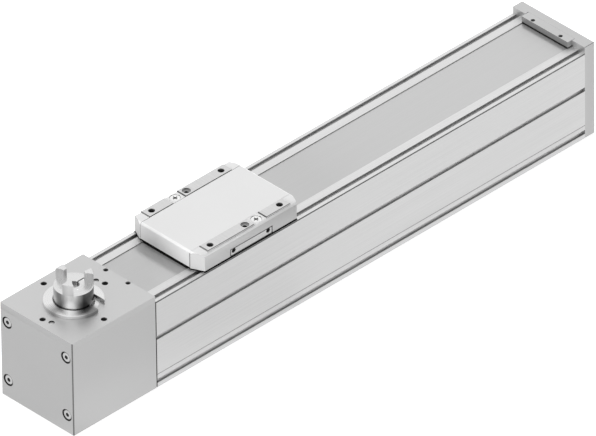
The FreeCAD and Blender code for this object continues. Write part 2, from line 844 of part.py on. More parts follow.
def make_guide_screws():
    length = foot_thickness - guide_head_height + guide_thread_depth
    screw = socket_screw(guide_head_radius, guide_head_height, guide_screw_radius, length)
    return [aimed(screw, (0, 0, 1), (x + a * guide_screw_x, b * guide_screw_y, foot_top))
            for x in guide_places() for a in (-1, 1) for b in (-1, 1)]


def make_inner_carriage():
    foot = box(carriage_x - foot_half_length, carriage_x + foot_half_length,
               -foot_half_width, foot_half_width, foot_bottom, foot_top)
    neck = box(carriage_x - neck_half_length, carriage_x + neck_half_length,
               -neck_half_width, neck_half_width, foot_top, carriage_bottom)
    grip = box(carriage_x - clamp_plate_length / 2, carriage_x + clamp_plate_length / 2, -belt_inner,
               -neck_half_width, belt_height - clamp_half_height(), belt_height + clamp_half_height())
    cuts = []
    for x in guide_places():
        for a in (-1, 1):
            for b in (-1, 1):
                hole_x = x + a * guide_screw_x
                hole_y = b * guide_screw_y
                cuts.append(upright(hole_x, hole_y, foot_bottom, foot_top,
                                    guide_screw_radius + hole_clearance))
                cuts.append(upright(hole_x, hole_y, foot_top - guide_head_height, foot_top,
                                    guide_head_radius + hole_clearance))
    for x, y in web_screw_places():
        cuts.append(upright(x, y, carriage_bottom - web_screw_depth - thread_bottom_gap, carriage_bottom,
                            web_screw_radius + thread_clearance))
    for x, z in belt_screw_places():
        cuts.append(along_y(x, -belt_inner, -belt_inner + belt_screw_depth() + belt_screw_bottom_gap, z,
                            belt_screw_radius + thread_clearance))
    return [foot.fuse([neck, grip]).removeSplitter().cut(Part.makeCompound(cuts))]


def clamp_half_height():
    return belt_width / 2 + clamp_plate_margin


def belt_screw_depth():
    return belt_inner - neck_half_width + belt_screw_grip


def belt_screw_places():
    level = belt_width / 2 + clamp_plate_margin / 2
    return [(carriage_x + a * belt_screw_x, belt_height + b * level) for a in (-1, 1) for b in (-1, 1)]


def make_belt_clamp():
    face = -belt_inner
    half = clamp_plate_length / 2
    tall = clamp_half_height()
    plate = box(carriage_x - half, carriage_x + half, -belt_outer - clamp_plate_thickness, face,
                belt_height - tall, belt_height + tall)
    groove_half = belt_width / 2 + belt_groove_gap
    groove = box(carriage_x - half, carriage_x + half, -belt_outer - belt_groove_gap / 2, face,
                 belt_height - groove_half, belt_height + groove_half)
    holes = [along_y(x, -belt_outer - clamp_plate_thickness, face, z, belt_screw_radius + thread_clearance)
             for x, z in belt_screw_places()]
    return [plate.cut(Part.makeCompound([groove] + holes))]


def make_belt_screws():
    length = clamp_plate_thickness + belt_thickness + belt_screw_depth()
    screw = socket_screw(belt_screw_head, belt_screw_head_height, belt_screw_radius, length)
    face = -belt_outer - clamp_plate_thickness - belt_screw_head_height
    return [aimed(screw, (0, -1, 0), (x, face, z)) for x, z in belt_screw_places()]


def web_screw_places():
    return [(carriage_x + a * web_screw_x, b * web_screw_y) for a in (-1, 1) for b in (-1, 1)]


def make_web_screws():
    length = web_thickness - web_head_height + web_screw_depth
    screw = socket_screw(web_head_radius, web_head_height, web_screw_radius, length)
    return [aimed(screw, (0, 0, 1), (x, y, web_top)) for x, y in web_screw_places()]


def pad_spans():
    # the spans of the two pads on the +Y side, the -Y side is the same turned half round
    return [(-plate_half, pad_short_end), (pad_long_start, plate_half)]


def make_slide_plate():
    x0 = carriage_x - plate_half
    x1 = carriage_x + plate_half
    web = box(carriage_x - web_half, carriage_x + web_half, -pad_outer, pad_outer, carriage_bottom, web_top)
    bar = box(x0, x1, bar_inner, pad_outer, carriage_bottom, bar_top)
    lug_x = carriage_x - lug_shift
    lug = box(lug_x - lug_half_length, lug_x + lug_half_length, bar_inner, side_half - lug_from_side,
              carriage_bottom, carriage_bottom + lug_height)
    pads = [box(carriage_x + a, carriage_x + b, pad_inner, pad_outer, bar_top, pad_top)
            for a, b in pad_spans()]
    half = bar.fuse([lug] + pads)
    body = web.fuse([half, turned_half(half)]).removeSplitter()
    cuts = []
    for y in (-mount_hole_y, mount_hole_y):
        for x in (-mount_hole_x, mount_hole_x):
            cuts.append(upright(carriage_x + x, y, pad_top - mount_hole_depth, pad_top, mount_hole_radius))
        cuts.append(upright(carriage_x, y, pad_top - centring_hole_depth, pad_top, centring_hole_radius))
        cuts.append(upright(carriage_x, y, pad_top - centring_hole_depth - centring_core_depth, pad_top,
                            centring_core_radius))
    for side in (-1, 1):
        cuts.append(upright(carriage_x - side * cover_screw_x, side * mount_hole_y,
                            cover_screw_seat - cover_screw_length - cover_screw_bottom_gap, bar_top,
                            cover_screw_radius + thread_clearance))
        deep = side_half - lug_from_side - lug_hole_depth
        y0, y1 = sorted((side * deep, side * side_half))
        for x in (-lug_hole_x, lug_hole_x):
            cuts.append(along_y(carriage_x - side * lug_shift + x, y0, y1,
                                carriage_bottom + lug_hole_height, lug_hole_radius))
    for x, y in web_screw_places():
        cuts.append(upright(x, y, carriage_bottom, web_top, web_screw_radius + hole_clearance))
        cuts.append(upright(x, y, web_top - web_head_height, web_top, web_head_radius + hole_clearance))
    return [body.cut(Part.makeCompound(cuts))]


def half_cover(y_inner, y_outer, x_half, top, y_cut):
    # outline of one side cover from above, with its cut corners
    x_cut = x_half - cover_corner_x
    points = [(-x_half, y_inner), (-x_half, y_cut), (-x_cut, y_outer),
              (x_cut, y_outer), (x_half, y_cut), (x_half, y_inner)]
    return plan_up_z([(carriage_x + x, y) for x, y in points], carriage_bottom, top)


def make_side_cover():
    seam = pad_inner - cover_seam
    outer = half_cover(seam, side_half, carriage_half, carriage_top, seam + cover_corner_start)
    bevel = section_along_x([(side_half - cover_bevel, carriage_top), (side_half, carriage_top),
                             (side_half, carriage_top - cover_bevel)],
                            carriage_x - carriage_half, carriage_x + carriage_half)
    hollow_side = pad_outer + cover_seam
    inner = half_cover(seam, hollow_side, carriage_half - cover_wall, bar_top, seam + cover_corner_start / 2)
    cover = outer.cut([bevel, inner])
    cuts = [box(carriage_x + a - cover_seam, carriage_x + b + cover_seam, seam, pad_outer + cover_seam,
                bar_top, carriage_top) for a, b in pad_spans()]
    lug_x = carriage_x - lug_shift
    window_half = lug_half_length + lug_gap
    cuts.append(box(lug_x - window_half, lug_x + window_half, pad_outer,
                    side_half, carriage_bottom, carriage_bottom + lug_height + lug_gap))
    cuts.append(upright(carriage_x - cover_screw_x, mount_hole_y, bar_top, carriage_top,
                        cover_screw_radius + hole_clearance))
    cuts.append(upright(carriage_x - cover_screw_x, mount_hole_y, cover_screw_seat, carriage_top,
                        cover_screw_head_radius + hole_clearance))
    return cover.cut(Part.makeCompound(cuts))


def make_centre_cover():
    half = pad_inner - cover_seam
    x_half = carriage_half
    r = cover_round
    top = carriage_top

    def tray_face(x_out, z_top, radius, z_low):
        slant = radius * math.sqrt(0.5)
        a = FreeCAD.Vector(carriage_x - x_out, -half, z_low)
        b = FreeCAD.Vector(carriage_x - x_out, -half, z_top - radius)
        mid = FreeCAD.Vector(carriage_x - x_out + radius - slant, -half, z_top - radius + slant)
        c = FreeCAD.Vector(carriage_x - x_out + radius, -half, z_top)
        d = FreeCAD.Vector(carriage_x + x_out - radius, -half, z_top)
        mid_far = FreeCAD.Vector(carriage_x + x_out - radius + slant, -half, z_top - radius + slant)
        e = FreeCAD.Vector(carriage_x + x_out, -half, z_top - radius)
        f = FreeCAD.Vector(carriage_x + x_out, -half, z_low)
        edges = [Part.makeLine(a, b), Part.Arc(b, mid, c).toShape(), Part.makeLine(c, d),
                 Part.Arc(d, mid_far, e).toShape(), Part.makeLine(e, f), Part.makeLine(f, a)]
        return Part.Face(Part.Wire(edges))

    outer = tray_face(x_half, top, r, carriage_bottom).extrude(FreeCAD.Vector(0, 2 * half, 0))
    inner = tray_face(x_half - cover_wall, bar_top, r - cover_wall, carriage_bottom)
    inner = inner.extrude(FreeCAD.Vector(0, 2 * half, 0))
    hollow = inner.common(box(carriage_x - x_half, carriage_x + x_half, -half + skirt_thickness,
                              half - skirt_thickness, carriage_bottom, top))
    under_half = plate_half + cover_seam
    under = [box(carriage_x - under_half, carriage_x + under_half, side * half - 1, side * half + 1,
                 carriage_bottom, web_top) for side in (-1, 1)]
    return [outer.cut([hollow] + under)]


def make_cover_screws():
    head = upright(0, 0, 0, cover_screw_head_height, cover_screw_head_radius)
    head = head.makeChamfer(cover_screw_chamfer, [head.Edges[0]])
    shank = upright(0, 0, -cover_screw_length + cover_screw_bottom_gap, 0, cover_screw_radius)
    arm = cover_screw_head_radius * socket_ratio
    cross = [box(-arm, arm, -cross_half_width, cross_half_width, -cross_depth, cover_screw_head_height),
             box(-cross_half_width, cross_half_width, -arm, arm, -cross_depth, cover_screw_head_height)]
    screw = head.fuse(shank).removeSplitter().cut(cross)
    return [aimed(screw, (0, 0, 1),
                  (carriage_x - side * cover_screw_x, side * mount_hole_y, cover_screw_seat))
            for side in (-1, 1)]


def make_strip_shoes():
    # low-friction shoes that lift the strip onto the web, seated on the ends of the web
    half = recess_half - strip_side_gap
    rise = strip_high - strip_seat
    radius = (strip_ramp_length ** 2 + rise ** 2) / (4 * rise)
    low = carriage_bottom + ramp_shoe_lift
    top = strip_high - ramp_shoe_gap
    x1 = carriage_x - web_half
    crest_z = top - radius
    reach = min(ramp_shoe_length, math.sqrt(radius ** 2 - (low + ramp_shoe_toe - crest_z) ** 2))
    toe_z = crest_z + math.sqrt(radius ** 2 - reach ** 2)
    middle = reach / 2
    mid_z = crest_z + math.sqrt(radius ** 2 - middle ** 2)
    points = [FreeCAD.Vector(x1, -half, low), FreeCAD.Vector(x1 - reach, -half, low),
              FreeCAD.Vector(x1 - reach, -half, toe_z), FreeCAD.Vector(x1 - middle, -half, mid_z),
              FreeCAD.Vector(x1, -half, top)]
    edges = [Part.makeLine(points[0], points[1]), Part.makeLine(points[1], points[2]),
             Part.Arc(points[2], points[3], points[4]).toShape(), Part.makeLine(points[4], points[0])]
    shoe = Part.Face(Part.Wire(edges)).extrude(FreeCAD.Vector(0, 2 * half, 0))
    return [shoe, turned_half(shoe)]


def make_belt():
    low = belt_height - belt_width / 2
    high = belt_height + belt_width / 2

    def loop(radius):
        ends = [upright(drive_x, 0, low, high, radius), upright(idler_x, 0, low, high, radius)]
        return box(drive_x, idler_x, -radius, radius, low, high).fuse(ends).removeSplitter()

    return [loop(belt_outer).cut(loop(belt_inner))]


def make_idler_pulley():
    body = toothed_pulley(idler_x, axle_radius + idler_core_gap)
    seats = [upright(idler_x, 0, pulley_low, pulley_low + idler_bearing_width, idler_bearing_radius),
             upright(idler_x, 0, pulley_high - idler_bearing_width, pulley_high, idler_bearing_radius)]
    return [body.cut(Part.makeCompound(seats))]


def make_idler_bearings():
    bore = axle_radius + running_clearance
    outer = idler_bearing_radius - press_gap
    return [bearing(idler_x, bore, outer, pulley_low, pulley_low + idler_bearing_width),
            bearing(idler_x, bore, outer, pulley_high - idler_bearing_width, pulley_high)]


def make_idler_axle():
    return [upright(idler_x, 0, yoke_low, yoke_high, axle_radius)]


def make_yoke():
    half = cavity_half - yoke_side_gap
    back = yoke_back + yoke_wall
    body = box(idler_x - yoke_front, back, -half, half, yoke_low, yoke_high)
    hollow = box(idler_x - yoke_front, yoke_back, -half, half, yoke_low + yoke_plate, yoke_high - yoke_plate)
    cuts = [hollow, upright(idler_x, 0, yoke_low, yoke_high, axle_radius + press_gap)]
    for side in (-1, 1):
        cuts.append(along_x(yoke_back, back, side * tension_screw_y, belt_height,
                            tension_screw_radius + thread_clearance))
    return [body.cut(Part.makeCompound(cuts))]


def make_tension_screws():
    face = cap_end - cap_head_depth + tension_head_height
    length = face - tension_head_height - yoke_back
    screw = socket_screw(tension_head_radius, tension_head_height, tension_screw_radius, length)
    return [aimed(screw, (1, 0, 0), (face, side * tension_screw_y, belt_height)) for side in (-1, 1)]


def make_buffers():
    level = foot_top - foot_thickness / 2
    near = carriage_x - travel_back - foot_half_length - buffer_gap
    far = carriage_x + travel_ahead + foot_half_length + buffer_gap
    buffers = []
    for side in (-1, 1):
        buffers.append(along_x(block_end, near, side * buffer_y, level, buffer_radius))
        buffers.append(along_x(far, profile_end, side * buffer_y, level, buffer_radius))
    return buffers


def main():
    os.makedirs("parts", exist_ok=True)
    save("profile", [make_profile()])
    save("magnet_strips", make_magnets())
    save("block_gasket", make_gasket())
    save("drive_housing", make_housing())
    save("drive_top_plate", make_top_plate())
    save("centring_ring", make_ring())
    save("shaft_seal", make_seal())
    save("drive_bearings", make_drive_bearings())
    save("drive_shaft", make_shaft())
    save("drive_pulley", make_drive_pulley())
    save("coupling_hub", make_hub())
    save("hub_clamp_screw", make_clamp_screw())
    block_head = block_start + corner_head_depth - corner_head_height
    save("housing_screws", make_corner_screws(block_head, -1, profile_start - block_head))
    save("end_cap", make_end_cap())
    cap_head = cap_end - cap_head_depth + corner_head_height
    save("end_cap_screws", make_corner_screws(cap_head, 1, cap_head - profile_end))
    save("end_strip_clamp", make_end_clamp())
    save("end_clamp_screws", make_end_clamp_screws())
    save("drive_strip_clamp", make_drive_clamp())
    save("strip_grub_screws", make_grub_screws())
    save("cover_strip", make_cover_strip())
    save("guide_rail", make_rail())
    save("rail_screws", make_rail_screws())
    save("guide_blocks", make_guide_blocks())
    save("guide_block_screws", make_guide_screws())
    save("inner_carriage", make_inner_carriage())
    save("belt_clamp", make_belt_clamp())
    save("belt_clamp_screws", make_belt_screws())
    save("slide_plate", make_slide_plate())
    save("slide_plate_screws", make_web_screws())
    cover = make_side_cover()
    save("left_cover", [cover])
    save("right_cover", [turned_half(cover)])
    save("centre_cover", make_centre_cover())
    save("cover_screws", make_cover_screws())
    save("strip_shoes", make_strip_shoes())
    save("drive_belt", make_belt())
    save("idler_pulley", make_idler_pulley())
    save("idler_bearings", make_idler_bearings())
    save("idler_axle", make_idler_axle())
    save("tensioner_yoke", make_yoke())
    save("tension_screws", make_tension_screws())
    save("stop_buffers", make_buffers())
    print("carriage travel", round(-travel_back, 2), round(travel_ahead, 2))
    print("pitch radius", round(pitch_radius, 4))
    print("carriage centre", round(carriage_x, 3))
    print("drive axis", round(drive_x, 3), "idler axis", round(idler_x, 3))


main()
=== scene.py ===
import json
import math
from functools import partial

import bmesh
import bpy
from mathutils import Matrix, Vector


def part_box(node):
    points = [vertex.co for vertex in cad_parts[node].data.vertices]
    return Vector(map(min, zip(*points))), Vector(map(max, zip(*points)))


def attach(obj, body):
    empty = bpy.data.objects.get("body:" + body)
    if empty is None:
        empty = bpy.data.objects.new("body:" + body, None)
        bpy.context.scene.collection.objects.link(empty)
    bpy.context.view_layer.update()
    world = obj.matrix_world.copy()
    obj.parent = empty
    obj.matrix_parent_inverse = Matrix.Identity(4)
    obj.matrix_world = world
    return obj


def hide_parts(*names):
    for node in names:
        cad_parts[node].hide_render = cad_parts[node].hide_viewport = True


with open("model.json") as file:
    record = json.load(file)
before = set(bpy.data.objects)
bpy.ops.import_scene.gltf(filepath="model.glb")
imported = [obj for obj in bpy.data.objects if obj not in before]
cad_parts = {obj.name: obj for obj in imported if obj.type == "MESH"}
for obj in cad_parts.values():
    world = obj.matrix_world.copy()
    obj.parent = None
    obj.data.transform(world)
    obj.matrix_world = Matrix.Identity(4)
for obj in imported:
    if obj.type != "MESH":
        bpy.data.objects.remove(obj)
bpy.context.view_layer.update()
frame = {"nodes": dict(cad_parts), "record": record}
nodes = frame["nodes"]
scene = bpy.context.scene
scene.view_settings.view_transform = "Standard"
print("frame loaded:", len(nodes), "nodes")

millimetre = 0.001
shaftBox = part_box("drive_shaft")
driveAxis = (shaftBox[0] + shaftBox[1]) / 2


def newPiece(name, data):
    piece = bpy.data.objects.new(name, data)
    scene.collection.objects.link(piece)
    return piece


# camera: a very long lens, because the photograph is close to a parallel view
cameraSet = {"turn": 44.08, "tilt": 35.536, "roll": -0.724, "lens": 1240.0, "sensor": 36.0,
             "distance": 16.003, "farthest": 48.009, "aimRight": -0.0022, "aimUp": 0.0341}


def makeCamera(values):
    turn, tilt, roll = (math.radians(values[key]) for key in ("turn", "tilt", "roll"))
    ahead = Vector((math.sin(turn) * math.cos(tilt), math.cos(turn) * math.cos(tilt), -math.sin(tilt)))
    level = ahead.cross(Vector((0, 0, 1))).normalized()
    upright = level.cross(ahead)
    right = level * math.cos(roll) + upright * math.sin(roll)
    up = upright * math.cos(roll) - level * math.sin(roll)
    data = bpy.data.cameras.new("camera")
    data.lens = values["lens"]
    data.sensor_width = values["sensor"]
    data.clip_end = values["farthest"]
    camera = newPiece("camera", data)
    place = right * values["aimRight"] + up * values["aimUp"] - ahead * values["distance"]
    turned = Matrix((right, up, -ahead)).transposed().to_4x4()
    camera.matrix_world = Matrix.Translation(place) @ turned
    scene.camera = camera


makeCamera(cameraSet)


# another node's output is linked to the socket, and any other value is set on it
def feed(tree, socket, value):
    if isinstance(value, bpy.types.NodeSocket):
        tree.links.new(value, socket)
    else:
        socket.default_value = value


# new nodes are laid out in rows after those that are already there
nodeRows = {"across": 6, "left": -1700, "top": 300, "wide": 240, "tall": 330}


def addNode(tree, kind, sockets=None, **settings):
    row, column = divmod(len(tree.nodes), nodeRows["across"])
    node = tree.nodes.new(kind)
    node.location = (nodeRows["left"] + column * nodeRows["wide"], nodeRows["top"] - row * nodeRows["tall"])
    for key, value in settings.items():
        setattr(node, key, value)
    for key, value in (sockets or {}).items():
        feed(tree, node.inputs[key], value)
    return node


def calculate(tree, operation, *values):
    return addNode(tree, "ShaderNodeMath", dict(enumerate(values)), operation=operation).outputs[0]


def mixed(tree, share, first, second):
    node = addNode(tree, "ShaderNodeMix", {"Factor": share, "A": first, "B": second}, data_type="RGBA")
    return node.outputs["Result"]


def greyOf(level):
    return (level, level, level, 1)


def newGroup(name, inputs, outputs):
    group = bpy.data.node_groups.new(name, "ShaderNodeTree")
    for label, kind, value in inputs:
        socket = group.interface.new_socket(label, in_out="INPUT", socket_type=kind)
        socket.default_value = value
    for label, kind in outputs:
        group.interface.new_socket(label, in_out="OUTPUT", socket_type=kind)
    return group, group.nodes.new("NodeGroupInput"), group.nodes.new("NodeGroupOutput")


# fine lines left by drawing, rolling or brushing: noise stretched along one direction
def makeLineGroup():
    group, given, out = newGroup("fineLines", [
        ("Vector", "NodeSocketVector", (0, 0, 0)), ("Stretch", "NodeSocketVector", (1, 1, 1)),
        ("Scale", "NodeSocketFloat", 900.0), ("Contrast", "NodeSocketFloat", 0.5)],
        [("Lines", "NodeSocketFloat"), ("Cloud", "NodeSocketFloat")])
    source = given.outputs
    stretched = addNode(group, "ShaderNodeVectorMath", {0: source["Vector"], 1: source["Stretch"]},
                        operation="MULTIPLY")
    fine = addNode(group, "ShaderNodeTexNoise", {"Vector": stretched.outputs[0], "Scale": source["Scale"],
                                                 "Detail": 3.0, "Roughness": 0.6})
    cloud = addNode(group, "ShaderNodeTexNoise", {"Vector": source["Vector"], "Scale": 14.0, "Detail": 2.0})
    low = calculate(group, "SUBTRACT", 0.5, source["Contrast"])
    high = calculate(group, "ADD", 0.5, source["Contrast"])
    spread = addNode(group, "ShaderNodeMapRange", {"Value": fine.outputs[0], "From Min": 0.3, "From Max": 0.7,
                                                   "To Min": low, "To Max": high})
    feed(group, out.inputs["Lines"], spread.outputs[0])
    feed(group, out.inputs["Cloud"], cloud.outputs[0])
    return group


# fine pebble of blasted metal or moulded plastic, with a slow cloud for uneven finish
def makeGrainGroup():
    group, given, out = newGroup("fineGrain", [
        ("Vector", "NodeSocketVector", (0, 0, 0)), ("Scale", "NodeSocketFloat", 2500.0),
        ("Patch", "NodeSocketFloat", 18.0)],
        [("Grain", "NodeSocketFloat"), ("Cloud", "NodeSocketFloat")])
    source = given.outputs
    fine = addNode(group, "ShaderNodeTexNoise", {"Vector": source["Vector"], "Scale": source["Scale"],
                                                 "Detail": 2.0, "Roughness": 0.7})
    cloud = addNode(group, "ShaderNodeTexNoise", {"Vector": source["Vector"], "Scale": source["Patch"],
                                                  "Detail": 3.0})
    feed(group, out.inputs["Grain"], fine.outputs[0])
    feed(group, out.inputs["Cloud"], cloud.outputs[0])
    return group


lineGroup = makeLineGroup()
grainGroup = makeGrainGroup()


plainGloss = 0.5
roughSpread = {"lined": (-0.04, 0.06), "grained": (-0.05, 0.05), "turned": (-0.06, 0.08)}
# how far a normal points up, from 0 to 1, where a face begins to count as wall and where it fully does
wallSlope = (0.6, 0.3)


def startMaterial(name, look):
    material = bpy.data.materials.new(name)
    material.use_nodes = True
    tree = material.node_tree
    shader = tree.nodes["Principled BSDF"]
    shader.inputs["Metallic"].default_value = look["metal"]
    shader.inputs["Roughness"].default_value = look["rough"]
    shader.inputs["Specular IOR Level"].default_value = look.get("gloss", plainGloss)
    return material, tree, shader, addNode(tree, "ShaderNodeTexCoord").outputs


# the face attribute "shade" is painted shade above 0, in sockets and seams that hold shadow, which turn dark
# and lose their gloss, and a painted highlight below 0, on edges that catch light, which turn lighter
def shadeMarked(tree, shader, colour, darkest):
    shade = addNode(tree, "ShaderNodeAttribute", attribute_name="shade").outputs["Fac"]
    lit = mixed(tree, calculate(tree, "MULTIPLY", shade, -1.0), colour, greyOf(1))
    dull = addNode(tree, "ShaderNodeMapRange", {"Value": shade, "To Min": plainGloss, "To Max": 0.0})
    feed(tree, shader.inputs["Specular IOR Level"], dull.outputs[0])
    return mixed(tree, shade, lit, greyOf(darkest))


# the colour comes mixed by a mask, so that it is never one flat value; added here are the shadow on marked
# faces, an uneven roughness and a fine relief
def finishMaterial(tree, shader, look, kind, colour, uneven, relief):
    if "shade" in look:
        colour = shadeMarked(tree, shader, colour, look["shade"])
    smoother, rougher = roughSpread[kind]
    spread = addNode(tree, "ShaderNodeMapRange", {"Value": uneven, "To Min": look["rough"] + smoother,
                                                  "To Max": look["rough"] + rougher})
    bump = addNode(tree, "ShaderNodeBump", {"Height": relief, "Strength": look["bump"],
                                            "Distance": look["depth"]})
    feed(tree, shader.inputs["Base Color"], colour)
    feed(tree, shader.inputs["Roughness"], spread.outputs[0])
    feed(tree, shader.inputs["Normal"], bump.outputs[0])


def linedMetal(name, look):
    material, tree, shader, coordinates = startMaterial(name, look)
    lines = addNode(tree, "ShaderNodeGroup", node_tree=lineGroup)
    for label, value in (("Vector", coordinates["Object"]), ("Stretch", look["stretch"]),
                         ("Scale", look["scale"]), ("Contrast", look["contrast"])):
        feed(tree, lines.inputs[label], value)
    mask, cloud = lines.outputs["Lines"], lines.outputs["Cloud"]
    colour = mixed(tree, mask, greyOf(look["dark"]), greyOf(look["pale"]))
    finishMaterial(tree, shader, look, "lined", colour, cloud, mask)
    return material


def grainedSurface(name, look):
    material, tree, shader, coordinates = startMaterial(name, look)
    grain = addNode(tree, "ShaderNodeGroup", node_tree=grainGroup)
    for label, value in (("Vector", coordinates["Object"]), ("Scale", look["scale"])):
        feed(tree, grain.inputs[label], value)
    mask, cloud = grain.outputs["Grain"], grain.outputs["Cloud"]
    colour = mixed(tree, cloud, greyOf(look["dark"]), greyOf(look["pale"]))
    finishMaterial(tree, shader, look, "grained", colour, mask, mask)
    return material


# turned steel: rings round the shaft, and a painted reflection: a fan of light and dark by the angle round
# the shaft, on the walls and, where "flats" is 1, on the flat faces too; above "fanTop" it is softened
# towards an even grey
def turnedMetal(name, look, middle):
    material, tree, shader, coordinates = startMaterial(name, look)
    centred = addNode(tree, "ShaderNodeMapping", {"Vector": coordinates["Object"],
                                                  "Location": (-middle[0], -middle[1], 0)}).outputs[0]
    flat = addNode(tree, "ShaderNodeVectorMath", {0: centred, 1: (1, 1, 0)}, operation="MULTIPLY")
    reach = addNode(tree, "ShaderNodeVectorMath", {0: flat.outputs[0]}, operation="LENGTH")
    rings = addNode(tree, "ShaderNodeTexNoise", {"W": reach.outputs["Value"], "Scale": look["rings"],
                                                 "Detail": 3.0}, noise_dimensions="1D").outputs[0]
    turn = addNode(tree, "ShaderNodeTexGradient", {"Vector": centred}, gradient_type="RADIAL")
    paintedFan = addNode(tree, "ShaderNodeValToRGB", {"Fac": turn.outputs["Fac"]})
    stops = paintedFan.color_ramp.elements
    stops[0].position, stops[1].position = look["paintedFan"][0][0], look["paintedFan"][-1][0]
    for place, _ in look["paintedFan"][1:-1]:
        stops.new(place)
    for stop, (_, level) in zip(stops, look["paintedFan"]):
        stop.color = greyOf(level)
    upright = addNode(tree, "ShaderNodeSeparateXYZ", {0: coordinates["Normal"]}).outputs[2]
    height = addNode(tree, "ShaderNodeSeparateXYZ", {0: coordinates["Object"]}).outputs[2]
    wall = addNode(tree, "ShaderNodeMapRange", {"Value": calculate(tree, "ABSOLUTE", upright),
                                                "From Min": wallSlope[0], "From Max": wallSlope[1]})
    fanned = calculate(tree, "MAXIMUM", wall.outputs[0], look["flats"])
    above = calculate(tree, "GREATER_THAN", height, look["fanTop"])
    softer = calculate(tree, "MULTIPLY", above, look["soften"])
    # painted reflection: the fan's greys, softened above fanTop
    paintedReflection = mixed(tree, softer, paintedFan.outputs["Color"], greyOf(look["even"]))
    plain = mixed(tree, rings, greyOf(look["dark"]), greyOf(look["pale"]))
    finishMaterial(tree, shader, look, "turned", mixed(tree, fanned, plain, paintedReflection), rings, rings)
    return material


# grey of the painted reflection fan by share of a full turn from the -X direction, counted against the clock
# from above
paintedHubReflection = [(0.0, 0.26), (0.02, 0.26), (0.05, 0.62), (0.09, 0.95), (0.128, 0.85), (0.167, 0.36),
            (0.211, 0.07), (0.261, 0.11), (0.328, 0.16), (0.37, 0.45), (0.5, 0.60), (0.62, 0.25),
            (0.72, 0.55), (0.86, 0.66), (0.95, 0.50), (0.985, 0.26)]
paintedRingReflection = [(0.0, 0.36), (0.02, 0.36), (0.06, 0.78), (0.10, 0.88), (0.15, 0.66), (0.20, 0.24),
           (0.26, 0.22), (0.30, 0.55), (0.34, 0.80), (0.5, 0.80), (0.8, 0.78), (0.93, 0.80), (1.0, 0.36)]

looks = {
    "profile": {"metal": 0.9, "rough": 0.46, "dark": 0.72, "pale": 0.80, "stretch": (0.004, 1, 1),
                "shade": 0.06, "scale": 1400.0, "contrast": 0.4, "bump": 0.10, "depth": 0.00001},
    "block": {"metal": 0.9, "rough": 0.42, "dark": 0.605, "pale": 0.635, "shade": 0.10, "scale": 2600.0,
              "bump": 0.08, "depth": 0.00001},
    "cap": {"metal": 0.9, "rough": 0.45, "dark": 0.575, "pale": 0.605, "shade": 0.03, "scale": 2600.0,
            "bump": 0.08, "depth": 0.00001},
    "slide": {"metal": 0.9, "rough": 0.46, "dark": 0.65, "pale": 0.75, "stretch": (1, 0.03, 1),
              "shade": 0.04, "scale": 1200.0, "contrast": 0.4, "bump": 0.10, "depth": 0.00001},
    "strip": {"metal": 0.25, "rough": 0.46, "dark": 0.55, "pale": 0.59, "stretch": (0.003, 1, 1),
              "scale": 1900.0, "contrast": 0.3, "bump": 0.05, "depth": 0.00001},
    "turned": {"metal": 0.95, "rough": 0.28, "dark": 0.70, "pale": 0.80, "paintedFan": paintedHubReflection, "flats": 0.0,
               "fanTop": 0.103, "soften": 0.55, "even": 0.66, "rings": 2400.0, "bump": 0.20,
               "depth": 0.00002},
    "turnedRing": {"metal": 0.95, "rough": 0.28, "dark": 0.70, "pale": 0.80, "paintedFan": paintedRingReflection, "flats": 1.0,
                   "fanTop": 0.103, "soften": 1.0, "even": 0.50, "rings": 2400.0, "bump": 0.20,
                   "depth": 0.00002},
    "ground": {"metal": 0.9, "rough": 0.30, "dark": 0.42, "pale": 0.52, "stretch": (0.02, 1, 1),
               "scale": 1500.0, "contrast": 0.4, "bump": 0.10, "depth": 0.00001},
    "screw": {"metal": 0.85, "rough": 0.34, "dark": 0.66, "pale": 0.74, "shade": 0.28, "scale": 1800.0,
              "bump": 0.10, "depth": 0.00002},
    "brightScrew": {"metal": 0.3, "rough": 0.25, "dark": 0.88, "pale": 0.94, "shade": 0.02, "scale": 1500.0,
                    "bump": 0.06, "depth": 0.00001},
    "holeShade": {"metal": 0.5, "rough": 0.45, "dark": 0.015, "pale": 0.03, "scale": 1500.0,
               "bump": 0.10, "depth": 0.00001},
    "plastic": {"metal": 0.0, "rough": 0.50, "dark": 0.76, "pale": 0.80, "shade": 0.004, "scale": 3200.0,
                "bump": 0.08, "depth": 0.00001},
    "blackSteel": {"metal": 0.6, "rough": 0.40, "dark": 0.03, "pale": 0.05, "scale": 1500.0,
                   "bump": 0.10, "depth": 0.00001},
    "rubber": {"metal": 0.0, "rough": 0.60, "gloss": 0.1, "dark": 0.006, "pale": 0.015, "scale": 1600.0,
               "bump": 0.20, "depth": 0.00004},
    "belt": {"metal": 0.0, "rough": 0.55, "dark": 0.02, "pale": 0.04, "stretch": (0.05, 1, 1),
             "scale": 900.0, "contrast": 0.5, "bump": 0.2, "depth": 0.00005},
}

profileMetal = linedMetal("profileMetal", looks["profile"])
blockMetal = grainedSurface("blockMetal", looks["block"])
capMetal = grainedSurface("capMetal", looks["cap"])
slideMetal = linedMetal("slideMetal", looks["slide"])
stripSteel = linedMetal("stripSteel", looks["strip"])
turnedSteel = turnedMetal("turnedSteel", looks["turned"], driveAxis)
turnedRing = turnedMetal("turnedRing", looks["turnedRing"], driveAxis)
groundSteelAndShade = linedMetal("groundSteelAndShade", looks["ground"])
screwSteel = grainedSurface("screwSteel", looks["screw"])
brightZincAndHighlight = grainedSurface("brightZincAndHighlight", looks["brightScrew"])
# painted shade: a near-black finish for hole linings, standing in for the shade inside holes
holeShadeSteel = grainedSurface("holeShadeSteel", looks["holeShade"])
blackSteel = grainedSurface("blackSteel", looks["blackSteel"])
coverPlastic = grainedSurface("coverPlastic", looks["plastic"])
blackRubberAndShade = grainedSurface("blackRubberAndShade", looks["rubber"])
beltRubber = linedMetal("beltRubber", looks["belt"])
print("materials made")

